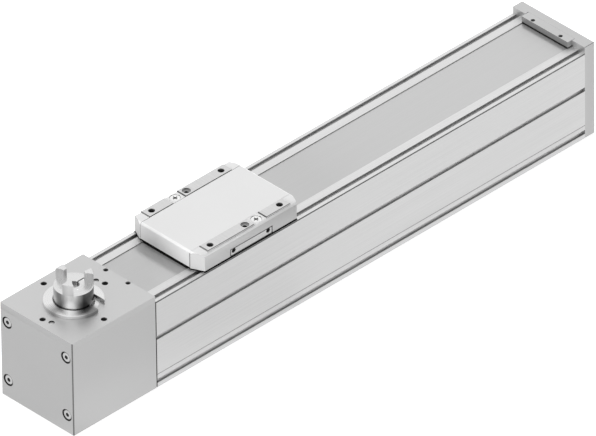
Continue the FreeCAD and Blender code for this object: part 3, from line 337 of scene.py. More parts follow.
finishes = {
    "anodised_profile": profileMetal, "anodised_parts": blockMetal, "anodised_slide": slideMetal,
    "turned_steel": turnedSteel, "bearing_steel": groundSteelAndShade, "screw_steel": screwSteel,
    "bright_screw": brightZincAndHighlight, "strip_steel": stripSteel, "white_plastic": coverPlastic,
    "dark_rubber": blackRubberAndShade, "belt_rubber": beltRubber}
slotOf = {part["node"]: part["material_slot"] for part in frame["record"]["subparts"]}
bodyOf = {name: body for body, names in frame["record"]["behaviour"]["bodies"].items() for name in names}


def meshFrom(work, name):
    mesh = bpy.data.meshes.new(name)
    work.to_mesh(mesh)
    work.free()
    return mesh


def setMaterial(piece, material):
    piece.data.materials.clear()
    piece.data.materials.append(material)


finishOf = {name: finishes[slot] for name, slot in slotOf.items()}
finishOf.update({"end_cap": capMetal, "end_strip_clamp": capMetal, "strip_grub_screws": blackSteel,
                 "end_clamp_screws": blackSteel, "hub_clamp_screw": blackSteel, "centring_ring": turnedRing})
for name, piece in nodes.items():
    setMaterial(piece, finishOf[name])


# widths in millimetres by which sharp edges are broken, as deburred metal and moulded plastic have them; 0
# keeps them sharp
edgeBreaks = {"drive_housing": 0.15, "drive_top_plate": 0.15, "end_cap": 0.25, "end_strip_clamp": 0.15,
              "left_cover": 0.3, "right_cover": 0.3, "centre_cover": 0.3, "slide_plate": 0.2,
              "coupling_hub": 0.15, "centring_ring": 0.12, "profile": 0.0}
# places in millimetres up to which, or from which, faces are marked as holding shadow
marks = {"blockEnd": -283.7, "blockSide": -39.2, "clampFoot": 82.0, "centreFoot": 83.1, "sideFoot": 82.5,
         "lugTop": 87.6, "lugEnd": -112.2, "padEnd": -135.0, "farPad": -96.0, "nearPad": -71.6,
         "padSide": -36.6}
# faces are cut along these planes first, so that one side can be marked: axis number and place
blockCuts = [(0, marks["blockEnd"]), (1, marks["blockSide"])]
faceCuts = {"centre_cover": [(2, marks["centreFoot"])], "left_cover": [(2, marks["sideFoot"])],
            "right_cover": [(2, marks["sideFoot"])], "drive_housing": blockCuts, "drive_top_plate": blockCuts,
            "end_strip_clamp": [(2, marks["clampFoot"])],
            "slide_plate": [(2, marks["sideFoot"]), (2, marks["lugTop"]), (0, marks["lugEnd"]),
                            (0, marks["padEnd"]), (0, marks["farPad"]), (0, marks["nearPad"]),
                            (1, marks["padSide"])]}
# in millimetres: the rounding and wall of the CAD cover, the tighter rounding outside and inside, and how
# near a point lies to count as on the old one
coverRound = {"cad": 6.0, "wall": 1.7, "radius": 2.4, "inner": 0.7, "steps": 8, "width": 100.0,
              "hair": 0.01, "near": 0.05}
sharpAngle, flatAngle = math.radians(28), math.radians(0.5)
# in metres: how near points are welded, and how near to a cut they count as on it
weldDistance, cutDistance = 0.000002, 0.000001
# normals this close to an axis belong to flat faces, and below this height to the walls of round pieces
squareLimit, roundLimit = 0.9999, 0.5


# the photograph shows a tighter rounding at the ends of the carriage than the CAD cover has, so the points
# on its outer and inner rounding are moved to the tighter one
def tightenEnds(mesh, low, high, values):
    cad, hair, near = (values[key] * millimetre for key in ("cad", "hair", "near"))
    for corner in mesh.vertices:
        for side, edge in ((-1, low.x), (1, high.x)):
            for inset, radius in ((0, values["radius"]), (values["wall"], values["inner"])):
                old = (values["cad"] - inset) * millimetre
                centre = Vector((edge - side * cad, high.z - cad))
                away = Vector((corner.co.x, corner.co.z)) - centre
                inside = away.x * side > -hair and away.y > -hair
                if inside and abs(away.length - old) < near:
                    new = radius * millimetre
                    reach = (values["cad"] - inset - radius) * millimetre
                    corner.co.x = centre.x + side * reach + away.x / old * new
                    corner.co.z = centre.y + reach + away.y / old * new


# a bar along the width of the carriage with its two upper ends rounded, which the side covers are cut to
def roundedBar(low, high, values):
    radius, half = values["radius"] * millimetre, values["width"] * millimetre / 2
    arc = [math.pi / 2 * k / values["steps"] for k in range(values["steps"] + 1)]
    outline = [(low.x + radius - radius * math.cos(a), high.z - radius + radius * math.sin(a)) for a in arc]
    outline += [(high.x - radius + radius * math.sin(a), high.z - radius + radius * math.cos(a)) for a in arc]
    outline += [(high.x, low.z - radius), (low.x, low.z - radius)]
    work = bmesh.new()
    face = work.faces.new([work.verts.new((x, -half, z)) for x, z in outline])
    swept = bmesh.ops.extrude_face_region(work, geom=[face])["geom"]
    moving = [item for item in swept if isinstance(item, bmesh.types.BMVert)]
    bmesh.ops.translate(work, verts=moving, vec=(0, 2 * half, 0))
    bmesh.ops.recalc_face_normals(work, faces=work.faces)
    return newPiece("roundedBar", meshFrom(work, "roundedBar"))


# zones of the profile in millimetres: reach from the middle, height, and the shadow that they hold; "flat"
# leaves out faces that look up, and "wall" those that don't look aside
profileZones = [
    {"side": (39.3, 99.0), "height": (80.05, 99.0), "flat": 0.9, "shade": 0.65},
    {"side": (39.3, 99.0), "height": (80.05, 80.5), "shade": 0.65},
    {"side": (39.0, 39.99), "height": (11.8, 12.8), "shade": 0.5},
    {"side": (24.0, 25.3), "height": (78.0, 80.9), "wall": 0.9, "shade": 0.35},
    {"side": (-1.0, 39.9), "height": (4.1, 8.1), "shade": 0.35},
    {"side": (-1.0, 39.9), "height": (45.0, 49.0), "shade": 0.35},
    {"side": (31.0, 38.1), "height": (76.0, 80.9), "shade": 0.3},
]
# painted shade from 0 to 1 that the other marked faces get in their colour; below 0 a painted highlight
# lightens it
shades = {"blockCorner": 0.8, "capEdge": 1.0, "foot": 1.0, "clampFront": 0.40, "lug": 0.9, "padWall": 0.85,
          "padRim": 0.85, "seam": 0.75, "slanted": 0.22, "coverEnd": 0.15, "coverSide": 0.09, "inside": 1.0,
          "edge": -0.6}
# measures of the carriage in millimetres, and where a normal counts as standing, straight or slanted
zones = {"lugSide": 38.2, "padFrom": 95.5, "rim": 0.9, "seamSide": (26.9, 28.5), "seamEnd": 2.0, "inset": 0.4,
         "edgeDepth": 2.5}
slopes = {"standing": 0.3, "flat": 0.9, "straight": 0.95, "slanted": 0.15, "end": 0.85, "edge": (0.55, 0.985)}


def between(value, span):
    return span[0] < value < span[1]


def shadeOfProfile(normal, middle):
    for zone in profileZones:
        if between(abs(middle.y), zone["side"]) and between(middle.z, zone["height"]):
            if normal.z < zone.get("flat", 2) and abs(normal.y) > zone.get("wall", -1):
                return zone["shade"]
    return 0.0


# painted shade round the lug, and on the pads' walls and rims towards -X and -Y
def shadeOfSlide(normal, middle, standing):
    ended = middle.z > marks["lugTop"] or middle.x < marks["lugEnd"]
    if abs(middle.y) > zones["lugSide"] and (ended or standing and middle.z < marks["sideFoot"]):
        return shades["lug"]
    if middle.z <= zones["padFrom"]:
        return 0.0
    if normal.z < slopes["flat"]:
        turned = abs(normal.x) + abs(normal.y) > slopes["standing"]
        facing = normal.x < -slopes["standing"] or normal.y < -slopes["standing"]
        return shades["padWall"] if turned and facing else 0.0
    start = marks["nearPad"] if middle.y < 0 else marks["farPad"]
    rim = middle.x < marks["padEnd"] or between(middle.x, (start - zones["rim"], start))
    rim = rim or middle.y < marks["padSide"]
    return shades["padRim"] if normal.z > slopes["flat"] and rim else 0.0


# painted shade on the covers: black feet, dark seams and inner walls, a little on the ends, outer sides and
# slanted corners; a painted highlight along the top edges
def shadeOfCover(name, normal, middle, low, high, onEdge, standing):
    foot = marks["centreFoot"] if name == "centre_cover" else marks["sideFoot"]
    end = middle.x < low.x + zones["inset"] or middle.x > high.x - zones["inset"]
    outside = end or name == "left_cover" and middle.y > high.y - zones["inset"]
    outside = outside or name == "right_cover" and middle.y < low.y + zones["inset"]
    if middle.z < foot and (standing or onEdge):
        return shades["foot"]
    seam = middle.x < low.x + zones["seamEnd"] and between(-middle.y, zones["seamSide"])
    if standing and seam:
        return shades["seam"]
    if between(normal.z, slopes["edge"]) and middle.z > high.z - zones["edgeDepth"]:
        return shades["edge"]
    if standing and min(abs(normal.x), abs(normal.y)) > slopes["slanted"] and not onEdge:
        return shades["slanted"]
    if standing and end and abs(normal.x) > slopes["end"]:
        return shades["coverEnd"]
    if outside and not onEdge and abs(normal.y) > slopes["straight"]:
        return shades["coverSide"]
    straight = max(abs(normal.x), abs(normal.y)) > slopes["straight"]
    return shades["inside"] if straight and not onEdge and not outside else 0.0


# how much painted shade a face gets, from 0 to 1, or below 0 a painted highlight; faces made by breaking an
# edge have material number 1
def shadeOf(name, face, low, high):
    normal, middle = face.normal, face.center / millimetre
    onEdge = face.material_index == 1
    standing = abs(normal.z) < slopes["standing"]
    if name in ("drive_housing", "drive_top_plate"):
        corner = middle.x < marks["blockEnd"] and middle.y < marks["blockSide"]
        return shades["blockCorner"] if standing and corner else 0.0
    if name == "end_cap":
        near = normal.z > slopes["standing"] and normal.y < -slopes["standing"]
        return shades["capEdge"] if onEdge and near else 0.0
    if name == "end_strip_clamp":
        if standing and middle.z < marks["clampFoot"]:
            return shades["foot"]
        return shades["clampFront"] if normal.x < -slopes["flat"] else 0.0
    if name == "profile":
        return shadeOfProfile(normal, middle)
    if name == "slide_plate":
        return shadeOfSlide(normal, middle, standing)
    if name in ("left_cover", "right_cover", "centre_cover"):
        return shadeOfCover(name, normal, middle, low / millimetre, high / millimetre, onEdge, standing)
    return 0.0


# a welded copy of a CAD node's mesh, its flat faces whole and cut along the planes for the marks; its two
# slots let the bevel number its own faces
def cleanCopy(name):
    mesh = nodes[name].data.copy()
    if "custom_normal" in mesh.attributes:
        mesh.attributes.remove(mesh.attributes["custom_normal"])
    mesh.materials.clear()
    for _ in range(2):
        mesh.materials.append(finishOf[name])
    work = bmesh.new()
    work.from_mesh(mesh)
    bmesh.ops.remove_doubles(work, verts=work.verts, dist=weldDistance)
    bmesh.ops.dissolve_limit(work, angle_limit=flatAngle, verts=work.verts, edges=work.edges)
    for axis, place in faceCuts.get(name, []):
        start, across = Vector((0, 0, 0)), Vector((0, 0, 0))
        start[axis], across[axis] = place * millimetre, 1
        bmesh.ops.bisect_plane(work, geom=work.verts[:] + work.edges[:] + work.faces[:], dist=cutDistance,
                               plane_co=start, plane_no=across)
    work.to_mesh(mesh)
    work.free()
    return mesh


def breakEdges(name, width):
    mesh = cleanCopy(name)
    low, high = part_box(name)
    if name == "centre_cover":
        tightenEnds(mesh, low, high, coverRound)
    piece = newPiece(name + "_finished", mesh)
    bar = None
    if name in ("left_cover", "right_cover"):
        bar = roundedBar(low, high, coverRound)
        trim = piece.modifiers.new("round", "BOOLEAN")
        trim.operation = "INTERSECT"
        trim.solver = "EXACT"
        trim.object = bar
    if width:
        bevel = piece.modifiers.new("edge", "BEVEL")
        bevel.width = width * millimetre
        bevel.segments = 1
        bevel.limit_method = "ANGLE"
        bevel.angle_limit = sharpAngle
        bevel.material = 1
        bevel.use_clamp_overlap = True
    graph = bpy.context.evaluated_depsgraph_get()
    finished = bpy.data.meshes.new_from_object(piece.evaluated_get(graph))
    piece.modifiers.clear()
    piece.data = finished
    if bar:
        bpy.data.objects.remove(bar)
    shade = finished.attributes.new("shade", "FLOAT", "FACE")
    turned = name in ("coupling_hub", "centring_ring")
    for face in finished.polygons:
        square = max(abs(part) for part in face.normal) > squareLimit
        face.use_smooth = not square or turned and abs(face.normal.z) < roundLimit
        shade.data[face.index].value = shadeOf(name, face, low, high)
        face.material_index = 0
    finished.set_sharp_from_angle(angle=sharpAngle)
    setMaterial(piece, finishOf[name])
    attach(piece, bodyOf[name])
    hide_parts(name)


for name, width in edgeBreaks.items():
    breakEdges(name, width)
print("edges broken on", len(edgeBreaks), "pieces")


def addBox(work, low, high):
    for corner in bmesh.ops.create_cube(work, size=1.0)["verts"]:
        corner.co = Vector([low[k] if corner.co[k] < 0 else high[k] for k in range(3)])


stripSet = {"thick": 0.3, "edge": 0.05}
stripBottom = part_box("magnet_strips")[1].z
stripTop = stripBottom + stripSet["thick"] * millimetre


# the cover strip lies flat along the whole axis; its lift over the slide is inside the carriage
def makeStrip(values):
    low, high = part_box("cover_strip")
    work = bmesh.new()
    addBox(work, (low.x, low.y, stripBottom), (high.x, high.y, stripTop))
    bmesh.ops.bevel(work, geom=work.edges[:], offset=values["edge"] * millimetre, segments=1, affect="EDGES")
    strip = newPiece("cover_strip_flat", meshFrom(work, "cover_strip_flat"))
    setMaterial(strip, stripSteel)
    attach(strip, "axis_frame")
    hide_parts("cover_strip")


makeStrip(stripSet)


# black wipers that close the gap between the carriage and the strip at its ends, and the profile's lips along
# its sides;
# their black is painted shade, standing in for the shadow in that gap
def makeShadeWipers(values):
    low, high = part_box("centre_cover")
    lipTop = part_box("profile")[1].z
    thick, inset, gap = (values[key] * millimetre for key in ("thick", "inset", "gap"))
    half, side, start = (values[key] * millimetre for key in ("half", "side", "sideStart"))
    work = bmesh.new()
    for first in (low.x + inset, high.x - inset - thick):
        addBox(work, (first, -half, stripTop + gap), (first + thick, half, low.z))
    for first in (-side, side - thick):
        addBox(work, (low.x + start, first, lipTop + gap), (high.x - start, first + thick, low.z))
    wipers = newPiece("strip_wipers", meshFrom(work, "strip_wipers"))
    setMaterial(wipers, blackRubberAndShade)
    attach(wipers, "carriage")


makeShadeWipers({"inset": 0.05, "thick": 1.5, "half": 24.9, "gap": 0.05, "side": 39.3, "sideStart": 4.9})
print("strip and wipers laid")


# screws and threads: one seed shape each, made by nodes and set on points at the pieces' own places
def newShapeTree(name, inputs):
    tree = bpy.data.node_groups.new(name, "GeometryNodeTree")
    tree.interface.new_socket("Points", in_out="INPUT", socket_type="NodeSocketGeometry")
    for label, kind in inputs:
        tree.interface.new_socket(label, in_out="INPUT", socket_type="NodeSocket" + kind)
    tree.interface.new_socket("Direction", in_out="INPUT", socket_type="NodeSocketVector")
    tree.interface.new_socket("Finish", in_out="INPUT", socket_type="NodeSocketMaterial")
    tree.interface.new_socket("Shape", in_out="OUTPUT", socket_type="NodeSocketGeometry")
    return tree, tree.nodes.new("NodeGroupInput"), tree.nodes.new("NodeGroupOutput")


# functions that each add one node of arithmetic and return its output
def arithmetic(tree, *operations):
    return [partial(calculate, tree, operation) for operation in operations]


def vectorOf(tree, *values):
    return addNode(tree, "ShaderNodeCombineXYZ", dict(enumerate(values))).outputs[0]


def positionParts(tree):
    place = addNode(tree, "GeometryNodeInputPosition").outputs[0]
    return addNode(tree, "ShaderNodeSeparateXYZ", {0: place}).outputs[:3]


# a round bar from z = top down to z = top - depth
def roundBar(tree, corners, rings, radius, depth, top):
    bar = addNode(tree, "GeometryNodeMeshCylinder", {"Vertices": corners, "Side Segments": rings,
                                                     "Radius": radius, "Depth": depth})
    down = calculate(tree, "SUBTRACT", top, calculate(tree, "MULTIPLY", depth, 0.5))
    return addNode(tree, "GeometryNodeTransform", {"Geometry": bar.outputs["Mesh"],
                                                   "Translation": vectorOf(tree, 0, 0, down)}).outputs[0]


def cutAway(tree, body, cutter):
    return addNode(tree, "GeometryNodeMeshBoolean", {"Mesh 1": body, "Mesh 2": cutter},
                   operation="DIFFERENCE", solver="EXACT").outputs["Mesh"]


def moved(tree, mesh, place):
    return addNode(tree, "GeometryNodeSetPosition", {"Geometry": mesh, "Position": place}).outputs[0]


def setOnPoints(tree, given, out, shape):
    turn = addNode(tree, "FunctionNodeAlignRotationToVector", {"Vector": given["Direction"]}, axis="Z")
    copies = addNode(tree, "GeometryNodeInstanceOnPoints", {"Points": given["Points"], "Instance": shape,
                                                            "Rotation": turn.outputs[0]})
    whole = addNode(tree, "GeometryNodeRealizeInstances", {0: copies.outputs[0]})
    finish = addNode(tree, "GeometryNodeSetMaterial", {"Geometry": whole.outputs[0],
                                                       "Material": given["Finish"]})
    feed(tree, out.inputs[0], finish.outputs[0])


# corners of the round shapes
cornersOf = {"head": 72, "hexagon": 6, "shank": 32, "lining": 48}
# a head's rings, as shares of its height, and its recess, as shares of the recess's reach and depth
headShares = {"upper": -0.75, "top": -0.25, "reach": 1.02, "mouth": -0.2, "floor": -1.05}


# a screw with a chamfered, finely ribbed head; its recess is a hexagon or a cross
def makeScrewTree(name, cross):
    tree, given, out = newShapeTree(name, [
        ("Head Radius", "Float"), ("Head Height", "Float"), ("Chamfer", "Float"), ("Rib Depth", "Float"),
        ("Recess Radius", "Float"), ("Recess Depth", "Float"), ("Arm Width", "Float"),
        ("Shank Radius", "Float"), ("Shank Length", "Float")])
    size = given.outputs
    times, plus, minus, divided, modulo, root, over, under = arithmetic(
        tree, "MULTIPLY", "ADD", "SUBTRACT", "DIVIDE", "MODULO", "SQRT", "GREATER_THAN", "LESS_THAN")
    x, y, z = positionParts(tree)
    upper = over(z, times(size["Head Height"], headShares["upper"]))
    atTop = over(z, times(size["Head Height"], headShares["top"]))
    odd = modulo(addNode(tree, "GeometryNodeInputIndex").outputs[0], 2.0)
    low = minus(1.0, atTop)
    shoulder = times(upper, low)
    inset = plus(times(atTop, size["Chamfer"]), times(times(odd, low), size["Rib Depth"]))
    share = minus(1.0, divided(inset, size["Head Radius"]))
    level = minus(times(z, minus(1.0, shoulder)), times(shoulder, size["Chamfer"]))
    head = roundBar(tree, cornersOf["head"], 2, size["Head Radius"], size["Head Height"], 0.0)
    head = moved(tree, head, vectorOf(tree, times(x, share), times(y, share), level))
    twice = times(size["Recess Depth"], 2.0)
    if cross:
        arm, across = times(size["Recess Radius"], 2.0), size["Arm Width"]
        for sides in ((arm, across, twice), (across, arm, twice)):
            bar = addNode(tree, "GeometryNodeMeshCube", {"Size": vectorOf(tree, *sides)})
            head = cutAway(tree, head, bar.outputs["Mesh"])
    else:
        head = cutAway(tree, head, roundBar(tree, cornersOf["hexagon"], 1, size["Recess Radius"], twice,
                                            size["Recess Depth"]))
    # painted shade: the recess's faces are marked with "shade", which darkens them in the material
    within = under(root(plus(times(x, x), times(y, y))), times(size["Recess Radius"], headShares["reach"]))
    below = under(z, times(size["Recess Depth"], headShares["mouth"]))
    above = over(z, times(size["Recess Depth"], headShares["floor"]))
    mark = addNode(tree, "GeometryNodeStoreNamedAttribute", {
        "Geometry": head, "Name": "shade", "Value": times(times(within, below), above)},
        data_type="FLOAT", domain="FACE")
    shank = roundBar(tree, cornersOf["shank"], 1, size["Shank Radius"], size["Shank Length"],
                     times(size["Head Height"], -1.0))
    both = addNode(tree, "GeometryNodeJoinGeometry")
    for part in (mark.outputs[0], shank):
        feed(tree, both.inputs[0], part)
    setOnPoints(tree, size, out, both.outputs[0])
    return tree


# a lining for a threaded hole, a screw's counterbore or a pin hole; a helical wave cuts a thread into its
# wall, and the hollow stands out of the mouth by a share of the depth
mouthShare = 0.1


def makeLiningTree():
    tree, given, out = newShapeTree("boreLining", [
        ("Radius", "Float"), ("Wall", "Float"), ("Start", "Float"), ("Depth", "Float"), ("Floor", "Float"),
        ("Pitch", "Float"), ("Thread Depth", "Float"), ("Rings", "Int")])
    size = given.outputs
    times, plus, minus, divided, cosine, angle = arithmetic(
        tree, "MULTIPLY", "ADD", "SUBTRACT", "DIVIDE", "COSINE", "ARCTAN2")
    mouth = times(size["Start"], -1.0)
    wall = roundBar(tree, cornersOf["lining"], 1, size["Radius"], size["Depth"], mouth)
    over = times(size["Depth"], mouthShare)
    hollow = roundBar(tree, cornersOf["lining"], size["Rings"], minus(size["Radius"], size["Wall"]),
                      minus(plus(size["Depth"], over), size["Floor"]), plus(mouth, over))
    x, y, z = positionParts(tree)
    wave = cosine(minus(times(divided(z, size["Pitch"]), 2 * math.pi), angle(y, x)))
    ridge = times(plus(times(wave, 0.5), 0.5), size["Thread Depth"])
    share = minus(1.0, divided(ridge, size["Radius"]))
    hollow = moved(tree, hollow, vectorOf(tree, times(x, share), times(y, share), z))
    setOnPoints(tree, size, out, cutAway(tree, wall, hollow))
    return tree


def setPieces(name, tree, places, direction, finish, sizes):
    mesh = bpy.data.meshes.new(name)
    mesh.from_pydata([tuple(place) for place in places], [], [])
    piece = newPiece(name, mesh)
    maker = piece.modifiers.new("shape", "NODES")
    maker.node_group = tree
    socketOf = {item.name: item.identifier for item in tree.interface.items_tree if item.in_out == "INPUT"}
    for label, value in sizes.items():
        maker[socketOf[label]] = value if label == "Rings" else value * millimetre
    maker[socketOf["Direction"]] = direction
    maker[socketOf["Finish"]] = finish
    graph = bpy.context.evaluated_depsgraph_get()
    made = bpy.data.meshes.new_from_object(piece.evaluated_get(graph))
    piece.modifiers.clear()
    piece.data = made
    return piece


# the loose solids of a CAD node, each as its two corners, in the order of their first points
def solidBoxes(name):
    work = bmesh.new()
    work.from_mesh(nodes[name].data)
    bmesh.ops.remove_doubles(work, verts=work.verts, dist=weldDistance)
    left, boxes = set(work.verts), []
    for first in work.verts:
        if first not in left:
            continue
        left.remove(first)
        reached = [first]
        for vertex in reached:
            for edge in vertex.link_edges:
                other = edge.other_vert(vertex)
                if other in left:
                    left.remove(other)
                    reached.append(other)
        spans = [[corner.co[k] for corner in reached] for k in range(3)]
        boxes.append((Vector([min(span) for span in spans]), Vector([max(span) for span in spans])))
    work.free()
    return boxes


# the middle of each screw's head face, seen from the side it is driven from
def headPlaces(name, direction):
    places = []
    for low, high in solidBoxes(name):
        middle = (low + high) / 2
        for k in range(3):
            if direction[k] > 0:
                middle[k] = high[k]
            elif direction[k] < 0:
                middle[k] = low[k]
        places.append(middle)
    return places


# one row for each kind of screw: sizes in millimetres, ribs on the steel ones, cross or hexagon
screwKinds = {
    "housing_screws": {"direction": (-1, 0, 0), "cross": False, "finish": screwSteel, "sizes": {
        "Head Radius": 4.25, "Head Height": 5.0, "Chamfer": 0.45, "Rib Depth": 0.09, "Recess Radius": 1.9,
        "Recess Depth": 2.5, "Shank Radius": 2.5, "Shank Length": 98.4}},
    "end_cap_screws": {"direction": (1, 0, 0), "cross": False, "finish": screwSteel, "sizes": {
        "Head Radius": 4.25, "Head Height": 5.0, "Chamfer": 0.45, "Rib Depth": 0.09, "Recess Radius": 1.9,
        "Recess Depth": 2.5, "Shank Radius": 2.5, "Shank Length": 19.1}},
    "cover_screws": {"direction": (0, 0, 1), "cross": True, "finish": brightZincAndHighlight, "sizes": {
        "Head Radius": 4.2, "Head Height": 0.6, "Chamfer": 0.15, "Rib Depth": 0.0, "Recess Radius": 2.3,
        "Recess Depth": 0.5, "Arm Width": 1.15, "Shank Radius": 1.5, "Shank Length": 7.5}},
}
screwTrees = {False: makeScrewTree("socketScrew", False), True: makeScrewTree("crossScrew", True)}
liningTree = makeLiningTree()

for name, kind in screwKinds.items():
    screws = setPieces(name + "_finished", screwTrees[kind["cross"]], headPlaces(name, kind["direction"]),
                       kind["direction"], kind["finish"], kind["sizes"])
    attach(screws, bodyOf[name])
    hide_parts(name)
print("screws made for", len(screwKinds), "nodes")


mounts = {mount["name"]: mount for mount in frame["record"]["mounts"]}


# the mouths of a mount's holes, from its spacings or its circle
def holeMouths(name):
    mount = mounts[name]
    middle, sizes = Vector(mount["pos_m"]), mount["dims"]
    if "pcd_mm" in sizes:
        radius = sizes["pcd_mm"] * millimetre / 2
        turns = [2 * math.pi * k / sizes["count"] for k in range(sizes["count"])]
        return [middle + Vector((math.cos(turn), math.sin(turn), 0)) * radius for turn in turns]
    across = [-1, 1] if "spacing_x_mm" in sizes else [0]
    aside = [-1, 1] if "spacing_y_mm" in sizes else [0]
    halfX, halfY = (sizes.get(key, 0) * millimetre / 2 for key in ("spacing_x_mm", "spacing_y_mm"))
    return [middle + Vector((a * halfX, b * halfY, 0)) for a in across for b in aside]


# the tapped holes are lined near-black: the thread is real, its black is painted shade
linings = {
    "motor_threads": {"body": "axis_frame", "Start": 0.7, "Depth": 10.5, "Pitch": 0.8},
    "carriage_threads": {"body": "carriage", "Start": 0.8, "Depth": 10.5, "Pitch": 0.9},
    "right_side_threads": {"body": "carriage", "Start": 0.4, "Depth": 4.5, "Pitch": 0.7},
    "left_side_threads": {"body": "carriage", "Start": 0.4, "Depth": 4.5, "Pitch": 0.7},
}
liningWall = {"Wall": 0.2, "Thread Depth": 0.35, "Floor": 0.4, "clearance": 0.02, "ringsPerTurn": 4}


def lineHoles(name, body, mouths, direction, sizes, finish=holeShadeSteel):
    lining = setPieces(name + "_lining", liningTree, mouths, direction, finish, sizes)
    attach(lining, body)


for name, lining in linings.items():
    sizes = {key: value for key, value in lining.items() if key != "body"}
    sizes["Radius"] = mounts[name]["dims"]["hole_r_mm"] - liningWall["clearance"]
    sizes["Rings"] = int(liningWall["ringsPerTurn"] * lining["Depth"] / lining["Pitch"])
    sizes.update({key: liningWall[key] for key in ("Wall", "Thread Depth", "Floor")})
    lineHoles(name, lining["body"], holeMouths(name), mounts[name]["axis"], sizes)

# plain linings, near-black as painted shade: the counterbores round the corner screws' heads, and the
# centring and dowel holes; the centring holes' outer walls are a mid grey of painted shade, and the dowel
# holes' floors pale as a painted highlight
plainLinings = [
    ("housing_screws", "axis_frame",
     {"Radius": 5.18, "Wall": 0.5, "Start": -0.4, "Depth": 4.8, "Floor": -1.0}),
    ("end_cap_screws", "axis_frame",
     {"Radius": 5.18, "Wall": 0.5, "Start": -0.2, "Depth": 4.8, "Floor": -1.0}),
    ("centring_cores", "carriage",
     {"Radius": 1.98, "Wall": 0.2, "Start": 2.15, "Depth": 3.8, "Floor": 0.4}),
    ("centring_walls", "carriage",
     {"Radius": 3.48, "Wall": 0.15, "Start": 0.3, "Depth": 1.75, "Floor": -1.0}),
    ("dowel_walls", "axis_frame",
     {"Radius": 2.38, "Wall": 0.15, "Start": 0.2, "Depth": 1.0, "Floor": -1.0}),
    ("dowel_floors", "axis_frame",
     {"Radius": 2.38, "Wall": 0.2, "Start": 1.3, "Depth": 1.6, "Floor": 1.45}),
]
dowelHoles = {"circle": 32.2, "angle": 14.0, "top": 87.0}
# painted highlight: the dowel holes' floors take the pale zinc finish; painted shade: the centring holes'
# walls take the mid-grey ground steel
liningFinish = {"dowel_floors": brightZincAndHighlight, "centring_walls": groundSteelAndShade}


# the mouths of the two dowel holes, on a circle round the drive shaft
def dowelMouths(values):
    turn = math.radians(values["angle"])
    away = Vector((math.cos(turn), math.sin(turn))) * (values["circle"] * millimetre)
    top = values["top"] * millimetre
    return [Vector((driveAxis.x + side * away.x, driveAxis.y + side * away.y, top)) for side in (-1, 1)]


for name, body, sizes in plainLinings:
    if name.startswith("centring"):
        mouths, direction = holeMouths("carriage_centring"), mounts["carriage_centring"]["axis"]
    elif name.startswith("dowel"):
        mouths, direction = dowelMouths(dowelHoles), (0, 0, 1)
    else:
        direction = screwKinds[name]["direction"]
        mouths = headPlaces(name, direction)
    sizes.update({"Pitch": 1.0, "Thread Depth": 0.0, "Rings": 1})
    lineHoles(name, body, mouths, direction, sizes, liningFinish.get(name, holeShadeSteel))
print("holes lined in", len(linings) + len(plainLinings), "patterns")


# stage: a white floor and world for the camera and for reflections, a key lamp behind and above that
# throws the soft shadows of the photograph towards the drive block, and a low fill from the block's end
stageSet = {"floorSize": 60.0, "floorDrop": 0.0002, "floorGrey": 0.80, "cameraGlow": 0.62,
            "blockEndReflectionGlow": 0.75, "sideReflectionGlow": 0.97, "edgePlace": -0.2445, "edgeWidth": 0.10,
            "worldWhite": 1.0, "worldFill": 0.43}
lamps = [("keyLamp", (1.95, 1.95, 3.00), 0.90, 110.0), ("fillLamp", (-3.0, -0.35, 0.55), 1.2, 62.0)]


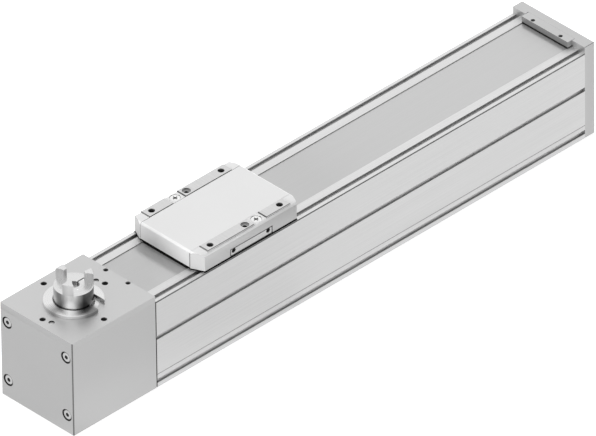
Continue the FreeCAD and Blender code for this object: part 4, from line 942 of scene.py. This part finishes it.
def makeFloor(values):
    mesh = bpy.data.meshes.new("floor")
    half = values["floorSize"] / 2
    corners = [(-half, -half, 0), (half, -half, 0), (half, half, 0), (-half, half, 0)]
    mesh.from_pydata(corners, [], [(0, 1, 2, 3)])
    floor = newPiece("floor", mesh)
    floor.location.z = -values["floorDrop"]
    material = bpy.data.materials.new("floorPaint")
    material.use_nodes = True
    tree = material.node_tree
    tree.nodes.clear()
    rays = addNode(tree, "ShaderNodeLightPath").outputs
    place = addNode(tree, "ShaderNodeTexCoord").outputs["Object"]
    across = addNode(tree, "ShaderNodeVectorMath", {0: place, 1: (1, -1, 0)}, operation="DOT_PRODUCT")
    # painted reflection: to reflected rays the floor is a glow without its shadow, dimmer out past the
    # block's end than along the side, which sets how light the metal faces turned each way look
    step = addNode(tree, "ShaderNodeMapRange", {
        "Value": across.outputs["Value"], "From Min": values["edgePlace"] - values["edgeWidth"] / 2,
        "From Max": values["edgePlace"] + values["edgeWidth"] / 2, "To Min": values["blockEndReflectionGlow"],
        "To Max": values["sideReflectionGlow"]}, interpolation_type="SMOOTHSTEP")
    seen = calculate(tree, "MULTIPLY", rays["Is Camera Ray"], values["cameraGlow"])
    mirrored = calculate(tree, "MAXIMUM", rays["Is Glossy Ray"], rays["Is Transmission Ray"])
    matt = addNode(tree, "ShaderNodeBsdfDiffuse", {"Color": greyOf(values["floorGrey"])})
    glow = addNode(tree, "ShaderNodeEmission", {"Strength": seen})
    paintedReflectionGlow = addNode(tree, "ShaderNodeEmission", {"Strength": step.outputs[0]})
    both = addNode(tree, "ShaderNodeAddShader", {0: matt.outputs[0], 1: glow.outputs[0]})
    choice = addNode(tree, "ShaderNodeMixShader", {0: mirrored, 1: both.outputs[0], 2: paintedReflectionGlow.outputs[0]})
    addNode(tree, "ShaderNodeOutputMaterial", {"Surface": choice.outputs[0]})
    mesh.materials.append(material)


def makeWorld(values):
    world = bpy.data.worlds.new("studio")
    world.use_nodes = True
    tree = world.node_tree
    backing = tree.nodes["Background"]
    backing.inputs["Color"].default_value = (1, 1, 1, 1)
    rays = addNode(tree, "ShaderNodeLightPath").outputs
    first = calculate(tree, "MAXIMUM", rays["Is Camera Ray"], rays["Is Glossy Ray"])
    white = calculate(tree, "MAXIMUM", first, rays["Is Transmission Ray"])
    strength = addNode(tree, "ShaderNodeMapRange", {"Value": white, "To Min": values["worldFill"],
                                                    "To Max": values["worldWhite"]})
    feed(tree, backing.inputs["Strength"], strength.outputs[0])
    scene.world = world


def makeLamp(name, place, size, power):
    data = bpy.data.lights.new(name, "AREA")
    data.shape = "DISK"
    data.size = size
    data.energy = power
    lamp = newPiece(name, data)
    lamp.location = place
    lamp.rotation_mode = "QUATERNION"
    lamp.rotation_quaternion = Vector(place).to_track_quat("Z", "Y")
    lamp.visible_glossy = False


makeFloor(stageSet)
makeWorld(stageSet)
for values in lamps:
    makeLamp(*values)
print("stage and lamps set")
